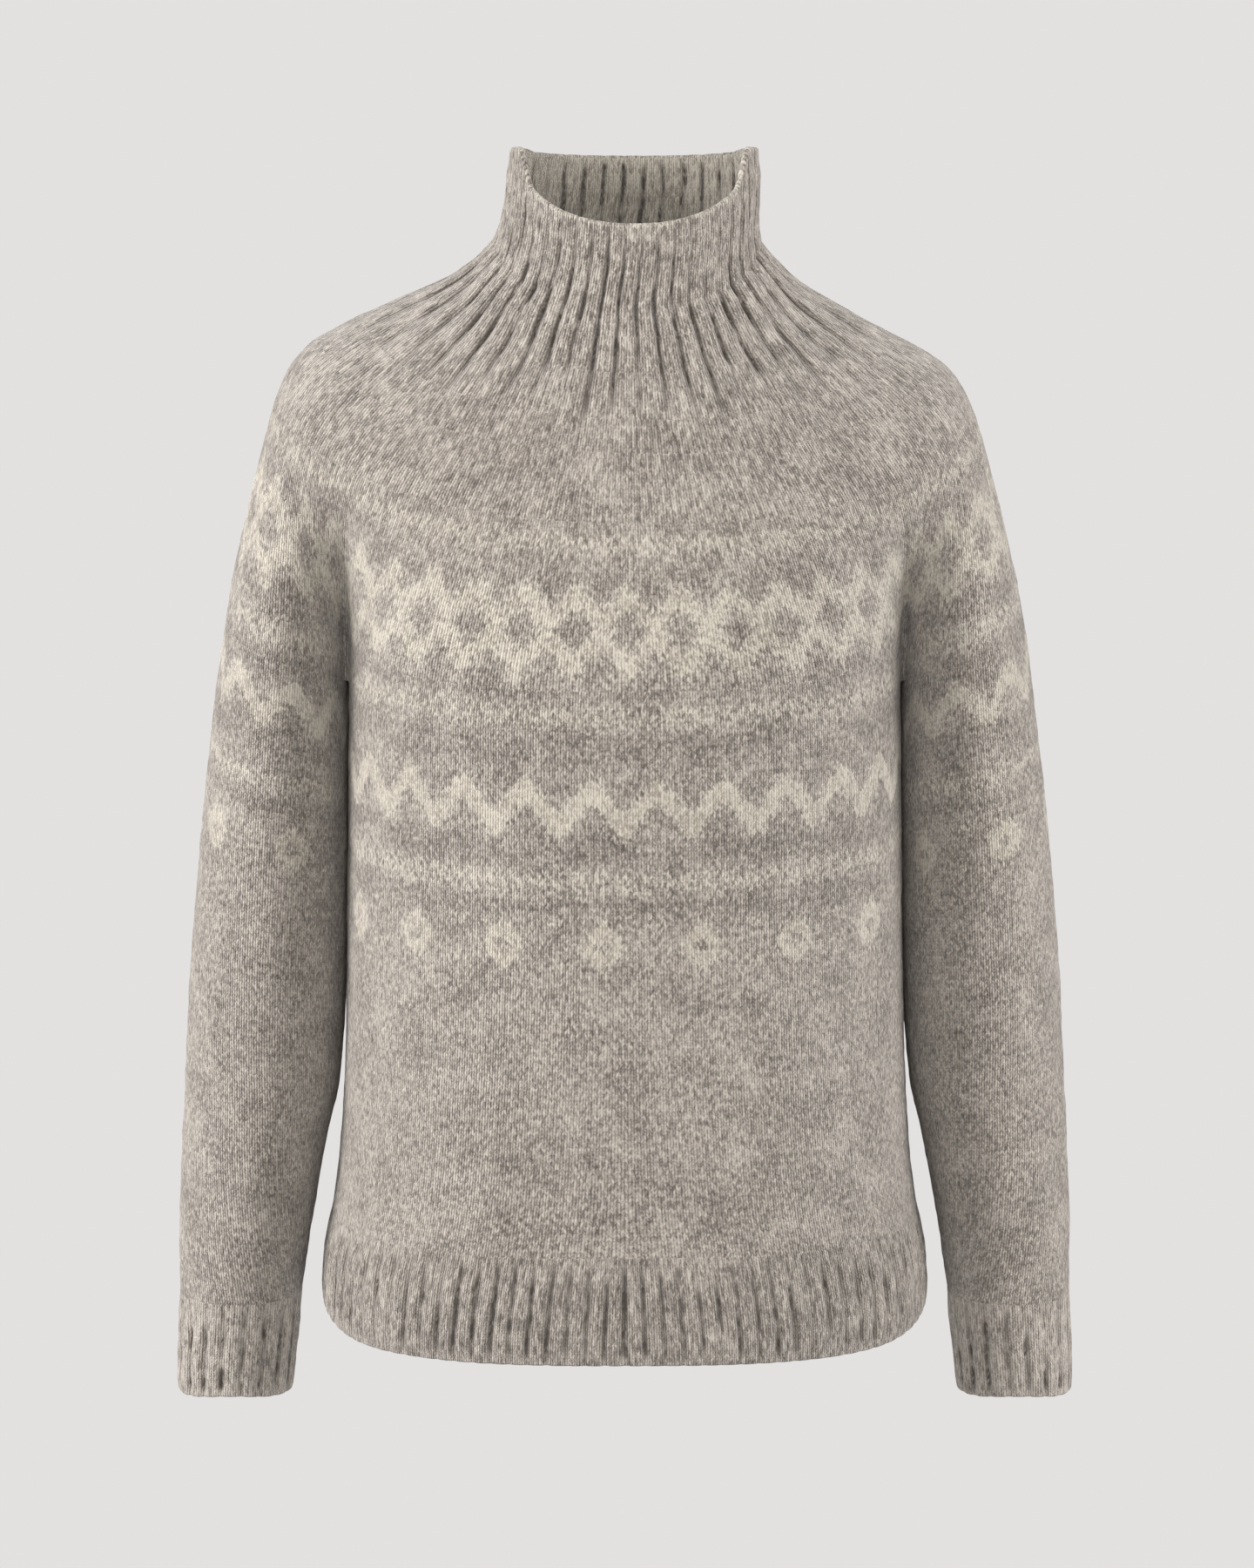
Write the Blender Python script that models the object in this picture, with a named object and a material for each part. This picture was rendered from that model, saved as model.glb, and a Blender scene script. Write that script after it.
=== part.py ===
"""A ribbed funnel-neck sweater with a round yoke, standing open in its worn shape with nobody in it.

Metres, +Z up. The front looks along -Y, and +X is the wearer's left. The origin is level with the
side of the neck, on the body's centreline, where the wearer's shoulders carry the knit.

The cloth is one wall all over. Each piece is a grid of points on the wall's plain outer face, with
a level for each round of knitting that it keeps and a column for each wale line. The ribs are
raised from that face, and the inner face is the same grid moved in by the wall's thickness.
"""

from math import pi

import bmesh
import bpy
import numpy as np

WALL = 0.0024
SEAM_GAP = 0.0003
YOKE_EDGE_GAP = 0.0004
RIB_RISE = 0.0017
FURROW = 0.22

# Ribs round the neck are counted by quarters: those from the front or back centre to the wale line
# that runs into the underarm crease, and those from there to the middle of the shoulder.
CREASE_RIBS = 6
SHOULDER_RIBS = 4
LINES_PER_RIB = 3
CREASE = LINES_PER_RIB * CREASE_RIBS
QUARTER = LINES_PER_RIB * (CREASE_RIBS + SHOULDER_RIBS)
HEM_RIBS = 88
CUFF_RIBS = 18

# The crease is pinched shut but for this half width, where body and sleeve are joined under the arm.
UNDERARM_HALF = 0.012

# A round falls from its side to its centre, at first softly, over this share of its depth.
DIP_SOFTNESS = 0.25

# The wearer's left shoulder hangs this much lower than the middle, and the right this much higher.
SHOULDER_TILT = 0.0052
SHOULDER_AT = 0.15

BODY_BOTTOM = -0.548
HEM_BOTTOM = -0.6075
SLEEVE_BOTTOM = -0.597
CUFF_BOTTOM = -0.6535

# The hem lifts this much at each side seam, over a stretch that a higher power shortens.
HEM_LIFT = 0.010
HEM_LIFT_POWER = 12

# The rim keeps the height of its sides up to the first of these reaches to the front or back, and
# from the second one on it has dropped to its dip.
RIM_STEP = (0.36, 0.60)

NECK_LEVELS = (0.0, 0.25, 0.5, 0.75, 1.0)
YOKE_ROUNDS = (0.0, 0.05, 0.10, 0.16, 0.23, 0.31, 0.39, 0.47, 0.55, 0.64, 0.73, 0.82, 0.91, 1.0)
BODY_LEVELS = 9
SLEEVE_LEVELS = 11
HEM_LEVELS = 2
CUFF_LEVELS = 2

# Rounds of the yoke where the neck's ribs stop being full, and where they have gone.
RIBS_FULL_TO = 0.12
RIBS_GONE_AT = 0.40

OATMEAL = (0.40, 0.36, 0.31, 1.0)
OATMEAL_RIBS = (0.34, 0.30, 0.26, 1.0)


def table(columns, *rows):
    """Named columns of numbers from rows. The first column is the one that the others are read by."""
    values = np.array(rows, float)
    names = columns.split()
    return {"key": values[:, 0]} | {name: values[:, i] for i, name in enumerate(names)}


# From the rim of the neck, level 0, down to the seam with the yoke, level 1. front_y and back_y are
# depths from the centreline, and shift moves the round towards +X, the way the neck leans.
NECK = table(
    "level side_x side_z front_y front_z back_y back_z shift",
    (0.00, 0.0688, 0.0562, 0.0640, 0.0145, 0.0560, 0.0522, 0.0053),
    (0.25, 0.0700, 0.0430, 0.0645, 0.0040, 0.0560, 0.0395, 0.0050),
    (0.50, 0.0705, 0.0305, 0.0650, -0.0065, 0.0565, 0.0270, 0.0042),
    (0.75, 0.0714, 0.0178, 0.0662, -0.0175, 0.0580, 0.0142, 0.0028),
    (1.00, 0.0742, 0.0055, 0.0690, -0.0290, 0.0615, 0.0015, 0.0014),
)

# From the neck's seam, round 0, out over the shoulders and down to the underarms, round 1.
# crease_x is where the wale line of the underarm crease crosses the round, and split is how far
# the round has parted from one oval, 0, into a body and two sleeves, 1.
YOKE = table(
    "round side_x side_z front_y front_z back_y back_z crease_x split",
    (0.00, 0.0742, 0.0055, 0.0690, -0.0290, 0.0615, 0.0015, 0.0615, 0.00),
    (0.06, 0.0822, -0.0035, 0.0735, -0.0420, 0.0680, -0.0095, 0.0690, 0.00),
    (0.12, 0.0962, -0.0150, 0.0780, -0.0560, 0.0750, -0.0220, 0.0785, 0.00),
    (0.20, 0.1262, -0.0300, 0.0850, -0.0740, 0.0850, -0.0400, 0.0955, 0.00),
    (0.32, 0.1634, -0.0475, 0.0940, -0.1000, 0.0965, -0.0670, 0.1170, 0.00),
    (0.38, 0.1788, -0.0570, 0.0985, -0.1130, 0.1010, -0.0810, 0.1270, 0.00),
    (0.44, 0.1885, -0.0680, 0.1025, -0.1260, 0.1045, -0.0950, 0.1360, 0.02),
    (0.54, 0.1990, -0.0900, 0.1090, -0.1490, 0.1090, -0.1220, 0.1480, 0.10),
    (0.66, 0.2065, -0.1170, 0.1155, -0.1765, 0.1125, -0.1530, 0.1540, 0.36),
    (0.78, 0.2145, -0.1480, 0.1205, -0.2040, 0.1140, -0.1850, 0.1560, 0.66),
    (0.90, 0.2215, -0.1790, 0.1240, -0.2320, 0.1140, -0.2180, 0.1570, 0.90),
    (1.00, 0.2268, -0.2040, 0.1255, -0.2560, 0.1130, -0.2450, 0.1575, 1.00),
)

# The body by height, as half of its width, its depths in front of and behind the centreline, and
# how squared it is as an oval, where 2 is an ellipse.
BODY = table(
    "z half_width front_y back_y square",
    (-0.610, 0.1738, 0.1285, 0.1185, 2.70),
    (-0.596, 0.1746, 0.1290, 0.1190, 2.68),
    (-0.577, 0.1738, 0.1290, 0.1184, 2.62),
    (-0.548, 0.1697, 0.1285, 0.1160, 2.52),
    (-0.520, 0.1658, 0.1275, 0.1130, 2.42),
    (-0.479, 0.1626, 0.1264, 0.1092, 2.34),
    (-0.425, 0.1606, 0.1260, 0.1065, 2.28),
    (-0.360, 0.1592, 0.1265, 0.1064, 2.25),
    (-0.300, 0.1582, 0.1266, 0.1088, 2.25),
    (-0.235, 0.1572, 0.1254, 0.1130, 2.25),
    (-0.080, 0.1560, 0.1120, 0.1050, 2.25),
)
ROUND_SQUARE = 2.25

# A sleeve by height: its outer and inner outline, the middle of its depth and half of that depth.
SLEEVE = table(
    "z outer_x inner_x middle_y half_depth",
    (-0.662, 0.2592, 0.1950, -0.0190, 0.0285),
    (-0.640, 0.2590, 0.1930, -0.0185, 0.0300),
    (-0.612, 0.2580, 0.1898, -0.0165, 0.0335),
    (-0.5835, 0.2584, 0.1858, -0.0135, 0.0375),
    (-0.557, 0.2585, 0.1818, -0.0100, 0.0415),
    (-0.531, 0.2576, 0.1772, -0.0060, 0.0450),
    (-0.505, 0.2567, 0.1722, -0.0020, 0.0475),
    (-0.479, 0.2552, 0.1662, 0.0020, 0.0498),
    (-0.425, 0.2527, 0.1616, 0.0060, 0.0530),
    (-0.360, 0.2470, 0.1599, 0.0070, 0.0555),
    (-0.300, 0.2405, 0.1588, 0.0060, 0.0575),
    (-0.240, 0.2325, 0.1577, 0.0040, 0.0590),
    (-0.200, 0.2260, 0.1575, 0.0030, 0.0605),
    (-0.140, 0.2128, 0.1570, 0.0020, 0.0640),
    (-0.090, 0.1985, 0.1560, 0.0010, 0.0680),
)

# The largest soft folds, each on the front, side -1, or the back, side 1. lean is its tilt from
# upright in radians, length and width are where it has mostly faded, and rise is outwards.
FOLDS = table(
    "side x z lean length width rise",
    (-1, 0.112, -0.310, 0.55, 0.070, 0.020, -0.0034),
    (-1, -0.108, -0.325, -0.50, 0.060, 0.022, -0.0030),
    (-1, -0.074, -0.490, 0.08, 0.085, 0.026, 0.0030),
    (-1, 0.018, -0.520, -0.05, 0.060, 0.028, -0.0026),
    (-1, 0.092, -0.470, -0.12, 0.090, 0.027, 0.0030),
    (1, 0.104, -0.320, 0.60, 0.070, 0.022, -0.0032),
    (1, -0.110, -0.300, -0.52, 0.060, 0.021, -0.0034),
    (1, -0.048, -0.470, -0.06, 0.090, 0.028, -0.0036),
    (1, 0.052, -0.500, 0.05, 0.080, 0.027, -0.0030),
    (-1, 0.212, -0.395, 1.15, 0.034, 0.016, -0.0028),
    (-1, -0.214, -0.425, -1.20, 0.036, 0.016, -0.0030),
    (-1, 0.228, -0.560, 1.30, 0.030, 0.014, -0.0022),
    (-1, -0.226, -0.545, -1.25, 0.030, 0.014, -0.0024),
    (1, 0.216, -0.410, 1.20, 0.034, 0.016, 0.0026),
    (1, -0.214, -0.400, -1.15, 0.034, 0.016, 0.0026),
)


def lookup(rows, column, at):
    """A column's value at a place along the table, on a smooth curve that never overshoots its rows."""
    key, values = rows["key"], rows[column]
    slope = np.diff(values) / np.diff(key)
    product, total = slope[:-1] * slope[1:], slope[:-1] + slope[1:]
    rising = product > 0
    middle = np.where(rising, 2 * product / np.where(rising, total, 1), 0)
    tangent = np.concatenate([slope[:1], middle, slope[-1:]])
    i = np.clip(np.searchsorted(key, at) - 1, 0, len(key) - 2)
    span = key[i + 1] - key[i]
    t = np.clip((at - key[i]) / span, 0, 1)
    from_low = values[i] * (1 + 2 * t) + tangent[i] * span * t
    from_high = values[i + 1] * (3 - 2 * t) + tangent[i + 1] * span * (t - 1)
    return from_low * (1 - t) ** 2 + from_high * t**2


def smooth_step(low, high, at):
    """0 up to low, 1 from high on, and a soft slope between."""
    t = np.clip((at - low) / (high - low), 0, 1)
    return t * t * (3 - 2 * t)


def wale_lines(ribs, ribbed):
    """Shares of a stretch where its wale lines stand, by ribs: a furrow and then two shoulders.

    ribbed is 1 where the shoulders crowd the furrow, and 0 where the lines are evenly spaced."""
    shoulder = 1 / 3 + (FURROW - 1 / 3) * ribbed
    offsets = (0, shoulder, 1 - shoulder)
    return np.array([(rib + offset) / ribs for rib in range(ribs) for offset in offsets] + [1.0])


def squared_oval(turn, half_width, depth, square=ROUND_SQUARE):
    """A quarter of a squared oval. Turn 0 is its centre, at x 0, and a quarter turn is its side."""
    return half_width * np.sin(turn) ** (2 / square), depth * np.abs(np.cos(turn)) ** (2 / square)


def turns_along(curve, start, end, shares):
    """The turns that stand at these shares of a curve's length from one turn to another."""
    turn = np.linspace(start, end, 200)
    x, y = curve(turn)
    length = np.concatenate([[0], np.cumsum(np.hypot(np.diff(x), np.diff(y)))])
    return np.interp(shares * length[-1], length, turn)


def body_points(turn, z, side):
    """Points on the +X half of the body's plain outer face, in front, side -1, or behind, side 1."""
    depth = lookup(BODY, "front_y" if side < 0 else "back_y", z)
    x, y = squared_oval(turn, lookup(BODY, "half_width", z), depth, lookup(BODY, "square", z))
    return np.stack([x, side * y, z + 0 * x], -1)


def body_length_turns(z, side, end, shares):
    """Turns at these shares of the body's length from its centre to an end turn."""
    return turns_along(lambda turn: body_points(turn, z, side)[:, :2].T, 0, end, shares)


def body_turns(z, side, shares):
    """Turns of the body's quarter from the centre to the underarm crease."""
    depth = abs(body_points(0.0, z, side)[1])
    crease = np.arccos((UNDERARM_HALF / depth) ** (lookup(BODY, "square", z) / 2))
    return body_length_turns(z, side, crease, shares)


def sleeve_points(turn, z, side):
    """Points on the +X sleeve's plain outer face. Turn 0 is its outer side and half a turn its inner."""
    outer, inner = lookup(SLEEVE, "outer_x", z), lookup(SLEEVE, "inner_x", z)
    x = (outer + inner) / 2 + (outer - inner) / 2 * np.cos(turn)
    y = lookup(SLEEVE, "middle_y", z) + side * lookup(SLEEVE, "half_depth", z) * np.sin(turn)
    return np.stack([x, y, z + 0 * x], -1)


def sleeve_length_turns(z, side, start, end, shares):
    """Turns at these shares of the length of a sleeve's outline."""
    return turns_along(lambda turn: sleeve_points(turn, z, side)[:, :2].T, start, end, shares)


def sleeve_turns(z, side, shares):
    """Turns of the sleeve's outline from the underarm crease to the outer side."""
    reach = UNDERARM_HALF - side * lookup(SLEEVE, "middle_y", z)
    crease = pi - np.arcsin(reach / lookup(SLEEVE, "half_depth", z))
    return sleeve_length_turns(z, side, crease, 0, shares)


def closed_round(front, back):
    """A closed round from its two quarters on the +X side, each of which runs from centre to side.

    It starts at the front centre and goes by the +X side, the back centre and the -X side."""
    half = np.concatenate([front, back[::-1][1:]])
    return np.concatenate([half, half[::-1][1:-1] * (-1, 1, 1)])


def tilted(points):
    """Points with the shoulders' tilt, which has gone at the neck and under the arms."""
    x, z = points[..., 0], points[..., 2]
    share = smooth_step(0.02, -0.04, z) * smooth_step(-0.23, -0.08, z)
    drop = SHOULDER_TILT * share * np.clip(x / SHOULDER_AT, -1, 1)
    return points - np.stack([0 * x, 0 * x, drop], -1)


def folded(points):
    """Points moved forward or back by the soft folds."""
    x, y, z = points[..., 0], points[..., 1], points[..., 2]
    moved = points.copy()
    for side, fold_x, fold_z, lean, length, width, rise in zip(*list(FOLDS.values())[1:]):
        along = (z - fold_z) * np.cos(lean) + (x - fold_x) * np.sin(lean)
        across = (x - fold_x) * np.cos(lean) - (z - fold_z) * np.sin(lean)
        facing = smooth_step(0.0, 0.035, side * y)
        share = np.exp(-((along / length) ** 2) - (across / width) ** 2) * facing
        moved[..., 1] += side * rise * share
    return moved


def rib_strength(round_):
    """How far the neck's ribs stand out at a round of the yoke."""
    return 1 - smooth_step(RIBS_FULL_TO, RIBS_GONE_AT, round_)


def oval_quarter(rows, at, side, crease_x, lines, held_up=0.0):
    """A quarter of an oval round of the neck or yoke, which falls from its side to its centre.

    held_up is how far it keeps the height of its side up to the rim's step."""
    name = "front" if side < 0 else "back"
    half_width, depth = lookup(rows, "side_x", at), lookup(rows, name + "_y", at)
    crease = np.arcsin((crease_x / half_width) ** (ROUND_SQUARE / 2))

    def outline(turn):
        return squared_oval(turn, half_width, depth)

    to_crease = turns_along(outline, 0, crease, lines[0])
    to_side = turns_along(outline, crease, pi / 2, lines[1])
    x, y = outline(np.append(to_crease, to_side[1:]))
    top, low = lookup(rows, "side_z", at), lookup(rows, name + "_z", at)
    fallen = dip(y / depth) * (1 - held_up * (1 - smooth_step(*RIM_STEP, y / depth)))
    return np.stack([x, side * y, top + (low - top) * fallen], -1)


def dip(reach):
    """How far a round has fallen, from 0 at its side, reach 0, to 1 at its centre, reach 1."""
    return (np.hypot(reach, DIP_SOFTNESS) - DIP_SOFTNESS) / (np.hypot(1, DIP_SOFTNESS) - DIP_SOFTNESS)


def neck_round(level):
    """A closed round of the funnel neck, whose wale lines are in step with the yoke's first round."""
    lines = wale_lines(CREASE_RIBS, 1), wale_lines(SHOULDER_RIBS, 1)
    crease_share = lookup(YOKE, "crease_x", 0.0) / lookup(YOKE, "side_x", 0.0)
    crease_x = crease_share * lookup(NECK, "side_x", level)
    quarters = [oval_quarter(NECK, level, side, crease_x, lines, 1 - level) for side in (-1, 1)]
    points = closed_round(*quarters)
    points[:, 0] += lookup(NECK, "shift", level)
    return tilted(points)


def parted_quarter(oval, side, lines):
    """The same quarter where the round has parted: round the body to the crease, then the sleeve."""
    z = oval[:, 2]
    body = body_points(body_turns(z[CREASE], side, lines[0]), z[: CREASE + 1], side)
    sleeve = sleeve_points(sleeve_turns(z[CREASE], side, lines[1]), z[CREASE:], side)
    meeting = (body[-1:] + sleeve[:1]) / 2
    return np.concatenate([body[:-1], meeting, sleeve[1:]])


def yoke_round(at):
    """A closed round of the yoke: an oval over the shoulders, which parts into body and sleeves."""
    ribbed = rib_strength(at)
    lines = wale_lines(CREASE_RIBS, ribbed), wale_lines(SHOULDER_RIBS, ribbed)
    quarters = []
    for side in (-1, 1):
        oval = oval_quarter(YOKE, at, side, lookup(YOKE, "crease_x", at), lines)
        parted = parted_quarter(oval, side, lines)
        quarters.append(oval + (parted - oval) * lookup(YOKE, "split", at))
    points = closed_round(*quarters)
    points[:, 0] += lookup(NECK, "shift", 1.0) * (1 - at)
    return tilted(points)


def yoke_edge(side):
    """The quarter of the yoke's lower edge on the +X side, from the centre to the sleeve's outer side."""
    last = yoke_round(YOKE_ROUNDS[-1])
    return last[: QUARTER + 1] if side < 0 else last[QUARTER : 2 * QUARTER + 1][::-1]


def underarm_height():
    """The height of the join under the arm, level with the lower of the yoke's two creases."""
    return min(yoke_edge(side)[CREASE, 2] for side in (-1, 1))


def fall(top, bottom, levels):
    """Heights from each column's top down to one bottom, as a grid."""
    share = np.linspace(0, 1, levels + 1)[:, None]
    return np.asarray(top)[None, :] * (1 - share) + bottom * share


def normals(grid, closed):
    """Unit normals of a grid of points, facing out where its levels go down and its columns round."""
    down = np.gradient(grid, axis=0)
    if closed:
        along = np.roll(grid, -1, axis=1) - np.roll(grid, 1, axis=1)
    else:
        along = np.gradient(grid, axis=1)
    cross = np.cross(down, along)
    return cross / np.linalg.norm(cross, axis=-1, keepdims=True)


def rib_rise(grid, rise):
    """The rise of each of a grid's columns: none in a rib's furrow, and full on its two shoulders."""
    return np.where(np.arange(grid.shape[1]) % LINES_PER_RIB == 0, 0, rise)[:, None]


def pulled_back(grid, end):
    """A grid whose first or last level, end 0 or -1, stands back from its seam by half of the gap."""
    near = grid[1] if end == 0 else grid[-2]
    step = near - grid[end]
    moved = grid.copy()
    moved[end] += step * SEAM_GAP / 2 / np.linalg.norm(step, axis=-1, keepdims=True)
    return moved


def material(name, colour):
    """A matt woollen finish."""
    made = bpy.data.materials.new(name)
    made.use_nodes = True
    shader = made.node_tree.nodes["Principled BSDF"]
    shader.inputs["Base Color"].default_value = colour
    shader.inputs["Roughness"].default_value = 0.95
    shader.inputs["Metallic"].default_value = 0.0
    return made


def add_wall(name, outer, inner, inner_columns, closed, colour):
    """One closed solid between two grids. The inner one has only some of the outer's columns."""
    columns, kept = outer.shape[1], len(inner_columns)
    bm = bmesh.new()
    out = [[bm.verts.new(point) for point in level] for level in outer]
    into = [[bm.verts.new(point) for point in level] for level in inner]
    for upper, lower in zip(out, out[1:]):
        for c in range(columns if closed else columns - 1):
            d = (c + 1) % columns
            bm.faces.new((upper[c], lower[c], lower[d], upper[d]))
    for k in range(kept if closed else kept - 1):
        m = (k + 1) % kept
        last = inner_columns[m] if m else columns
        span = [c % columns for c in range(inner_columns[k], last + 1)]
        for upper, lower in zip(into, into[1:]):
            bm.faces.new((upper[m], lower[m], lower[k], upper[k]))
        bm.faces.new([out[0][c] for c in span] + [into[0][m], into[0][k]])
        bm.faces.new([into[-1][k], into[-1][m]] + [out[-1][c] for c in reversed(span)])
    if not closed:
        for level in range(len(out) - 1):
            for c, first, second in ((0, level, level + 1), (-1, level + 1, level)):
                bm.faces.new((out[first][c], into[first][c], into[second][c], out[second][c]))
    mesh = bpy.data.meshes.new(name)
    bm.to_mesh(mesh)
    bm.free()
    mesh.shade_smooth()
    mesh.set_sharp_from_angle(angle=pi / 4)
    mesh.materials.append(material(name + "_knit", colour))
    made = bpy.data.objects.new(name, mesh)
    bpy.data.collections["sweater"].objects.link(made)


def add_neck_and_yoke():
    """The funnel neck and the yoke, cut from one grid, so that their seam's two edges match."""
    rounds = YOKE_ROUNDS[1:]
    grid = folded(np.array([neck_round(at) for at in NECK_LEVELS] + [yoke_round(at) for at in rounds]))
    strength = np.array([1.0] * len(NECK_LEVELS) + [rib_strength(at) for at in rounds])
    out = normals(grid, True)
    outer = grid + out * rib_rise(grid, RIB_RISE) * strength[:, None, None]
    inner = grid - out * WALL
    inner[-1, :, 2] = grid[-1, :, 2]
    seam = len(NECK_LEVELS) - 1
    kept = plain_columns(grid.shape[1])
    walls = outer, inner[:, kept]
    add_wall("collar", *(pulled_back(wall[: seam + 1], -1) for wall in walls), kept, True, OATMEAL_RIBS)
    add_wall("yoke", *(pulled_back(wall[seam:], 0) for wall in walls), kept, True, OATMEAL)


def plain_columns(columns):
    """The columns that the plain inner face keeps: every second one, and every one over the arms."""
    half = columns // 2

    def kept(column):
        from_centre = min(column % half, half - column % half)
        return from_centre % 2 == 0 or from_centre > CREASE

    return [column for column in range(columns) if kept(column)]


def add_body():
    """The front and back of the body, from the yoke's edge down to the hem's ribs."""
    for side, name in ((-1, "body_front"), (1, "body_back")):
        edge = yoke_edge(side)[: CREASE + 1, 2]
        turn = np.append(body_turns(edge[CREASE], side, wale_lines(CREASE_RIBS, 0))[::2], pi / 2)
        top = np.append(edge[::2], underarm_height()) - YOKE_EDGE_GAP
        z = fall(top, BODY_BOTTOM + SEAM_GAP / 2, BODY_LEVELS)
        add_panel(name, body_points(turn, z, side), side, 0, OATMEAL)


def add_hem():
    """The ribbed hem, front and back."""
    middle = (BODY_BOTTOM + HEM_BOTTOM) / 2
    for side, name in ((-1, "hem_rib_front"), (1, "hem_rib_back")):
        turn = body_length_turns(middle, side, pi / 2, wale_lines(HEM_RIBS // 4, 1))
        bottom = HEM_BOTTOM + HEM_LIFT * np.sin(turn) ** HEM_LIFT_POWER
        z = fall(np.full(len(turn), BODY_BOTTOM - SEAM_GAP / 2), bottom, HEM_LEVELS)
        add_panel(name, body_points(turn, z, side), side, RIB_RISE, OATMEAL_RIBS)


def add_panel(name, half, side, rise, colour):
    """A front or back panel from its half on the +X side, with half of the gap at each side seam."""
    half[:, -1, 1] = side * SEAM_GAP / 2
    grid = folded(np.concatenate([half[:, :0:-1] * (-1, 1, 1), half], axis=1))
    if side > 0:
        grid = grid[:, ::-1]
    out = normals(grid, False)
    out[:, [0, -1], 1] = 0
    kept = list(range(0, grid.shape[1], LINES_PER_RIB if rise else 1))
    outer, inner = flat_cut(grid, out, rise)
    add_wall(name, outer, inner[:, kept], kept, False, colour)


def flat_cut(grid, out, rise):
    """The outer and inner faces of a piece whose levels are all cut level, so that its seams match."""
    outer, inner = grid + out * rib_rise(grid, rise), grid - out * WALL
    outer[..., 2] = inner[..., 2] = grid[..., 2]
    return outer, inner


def add_sleeves():
    """Each sleeve, from the yoke's edge and the underarm down to the cuff."""
    bottom = SLEEVE_BOTTOM + SEAM_GAP / 2
    halves = []
    for side in (-1, 1):
        edge = yoke_edge(side)[CREASE:, 2]
        turn = sleeve_turns(edge[0], side, wale_lines(SHOULDER_RIBS, 0))
        halves.append(sleeve_points(turn, fall(edge - YOKE_EDGE_GAP, bottom, SLEEVE_LEVELS), side))
    under = sleeve_points(pi, fall([underarm_height() - YOKE_EDGE_GAP], bottom, SLEEVE_LEVELS), 1)
    add_tubes("sleeve", np.concatenate([halves[0], halves[1][:, -2::-1], under], axis=1), 0, OATMEAL)


def add_cuffs():
    """Each sleeve's ribbed cuff."""
    middle = (SLEEVE_BOTTOM + CUFF_BOTTOM) / 2
    turn = sleeve_length_turns(middle, 1, 0, 2 * pi, wale_lines(CUFF_RIBS, 1)[:-1])
    z = fall(np.full(len(turn), SLEEVE_BOTTOM - SEAM_GAP / 2), CUFF_BOTTOM, CUFF_LEVELS)
    add_tubes("cuff", sleeve_points(turn, z, 1), RIB_RISE, OATMEAL_RIBS)


def add_tubes(name, grid, rise, colour):
    """A closed tube on the wearer's left, at +X, and its mirrored twin on the right."""
    turned_back = [0] + list(range(grid.shape[1] - 1, 0, -1))
    kept = list(range(0, grid.shape[1], LINES_PER_RIB if rise else 1))
    for side, tube in (("left", grid), ("right", grid[:, turned_back] * (-1, 1, 1))):
        tube = folded(tube)
        outer, inner = flat_cut(tube, normals(tube, True), rise)
        add_wall(f"{name}_{side}", outer, inner[:, kept], kept, True, colour)


def main():
    for old in list(bpy.data.objects):
        bpy.data.objects.remove(old)
    bpy.context.scene.collection.children.link(bpy.data.collections.new("sweater"))
    add_neck_and_yoke()
    add_body()
    add_hem()
    add_sleeves()
    add_cuffs()


main()
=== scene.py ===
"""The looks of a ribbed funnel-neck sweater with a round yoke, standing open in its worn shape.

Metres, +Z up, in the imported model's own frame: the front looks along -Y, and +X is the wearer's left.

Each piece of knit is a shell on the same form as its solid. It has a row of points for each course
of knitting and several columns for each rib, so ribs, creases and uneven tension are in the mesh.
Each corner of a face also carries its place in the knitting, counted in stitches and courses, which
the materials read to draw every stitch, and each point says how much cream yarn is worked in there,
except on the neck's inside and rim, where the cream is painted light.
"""

from math import pi, radians

import bpy
import numpy as np
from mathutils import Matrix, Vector


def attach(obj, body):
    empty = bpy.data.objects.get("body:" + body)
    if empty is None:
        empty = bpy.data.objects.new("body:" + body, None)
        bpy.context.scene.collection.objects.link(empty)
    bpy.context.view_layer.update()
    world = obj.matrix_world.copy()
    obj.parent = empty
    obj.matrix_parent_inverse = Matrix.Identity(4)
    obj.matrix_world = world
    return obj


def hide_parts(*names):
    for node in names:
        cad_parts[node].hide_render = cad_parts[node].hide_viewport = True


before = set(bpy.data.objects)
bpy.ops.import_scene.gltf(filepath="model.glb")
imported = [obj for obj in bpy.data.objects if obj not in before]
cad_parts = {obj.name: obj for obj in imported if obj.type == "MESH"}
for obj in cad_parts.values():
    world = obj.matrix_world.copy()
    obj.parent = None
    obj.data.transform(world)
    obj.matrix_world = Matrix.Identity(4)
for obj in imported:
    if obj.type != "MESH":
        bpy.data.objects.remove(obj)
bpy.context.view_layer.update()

# The wall and its seams' heights, as in the solids. Ribs rise from its outer face, and the furrows
# between them dig into it.
WALL = 0.0024
RIB_RISE = 0.0017
RIB_DIG = 0.0008
UNDERARM_HALF = 0.012
DIP_SOFTNESS = 0.25
SHOULDER_TILT = 0.0052
SHOULDER_AT = 0.15
TILT_TOP = (0.02, -0.04)
TILT_LOW = (-0.23, -0.08)
BODY_BOTTOM = -0.548
HEM_BOTTOM = -0.6075
SLEEVE_BOTTOM = -0.597
CUFF_BOTTOM = -0.6535
HEM_LIFT = 0.010
HEM_LIFT_POWER = 12
ROUND_SQUARE = 2.25

# Where the neck's rim steps down, in shares of its depth, a little nearer to the front than in the
# solids. A cuff's rim is lifted in front, which makes it straight in the photo's view.
RIM_STEP = (0.43, 0.64)
CUFF_LIFT = 0.003
CUFF_LIFT_POWER = 4

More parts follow.
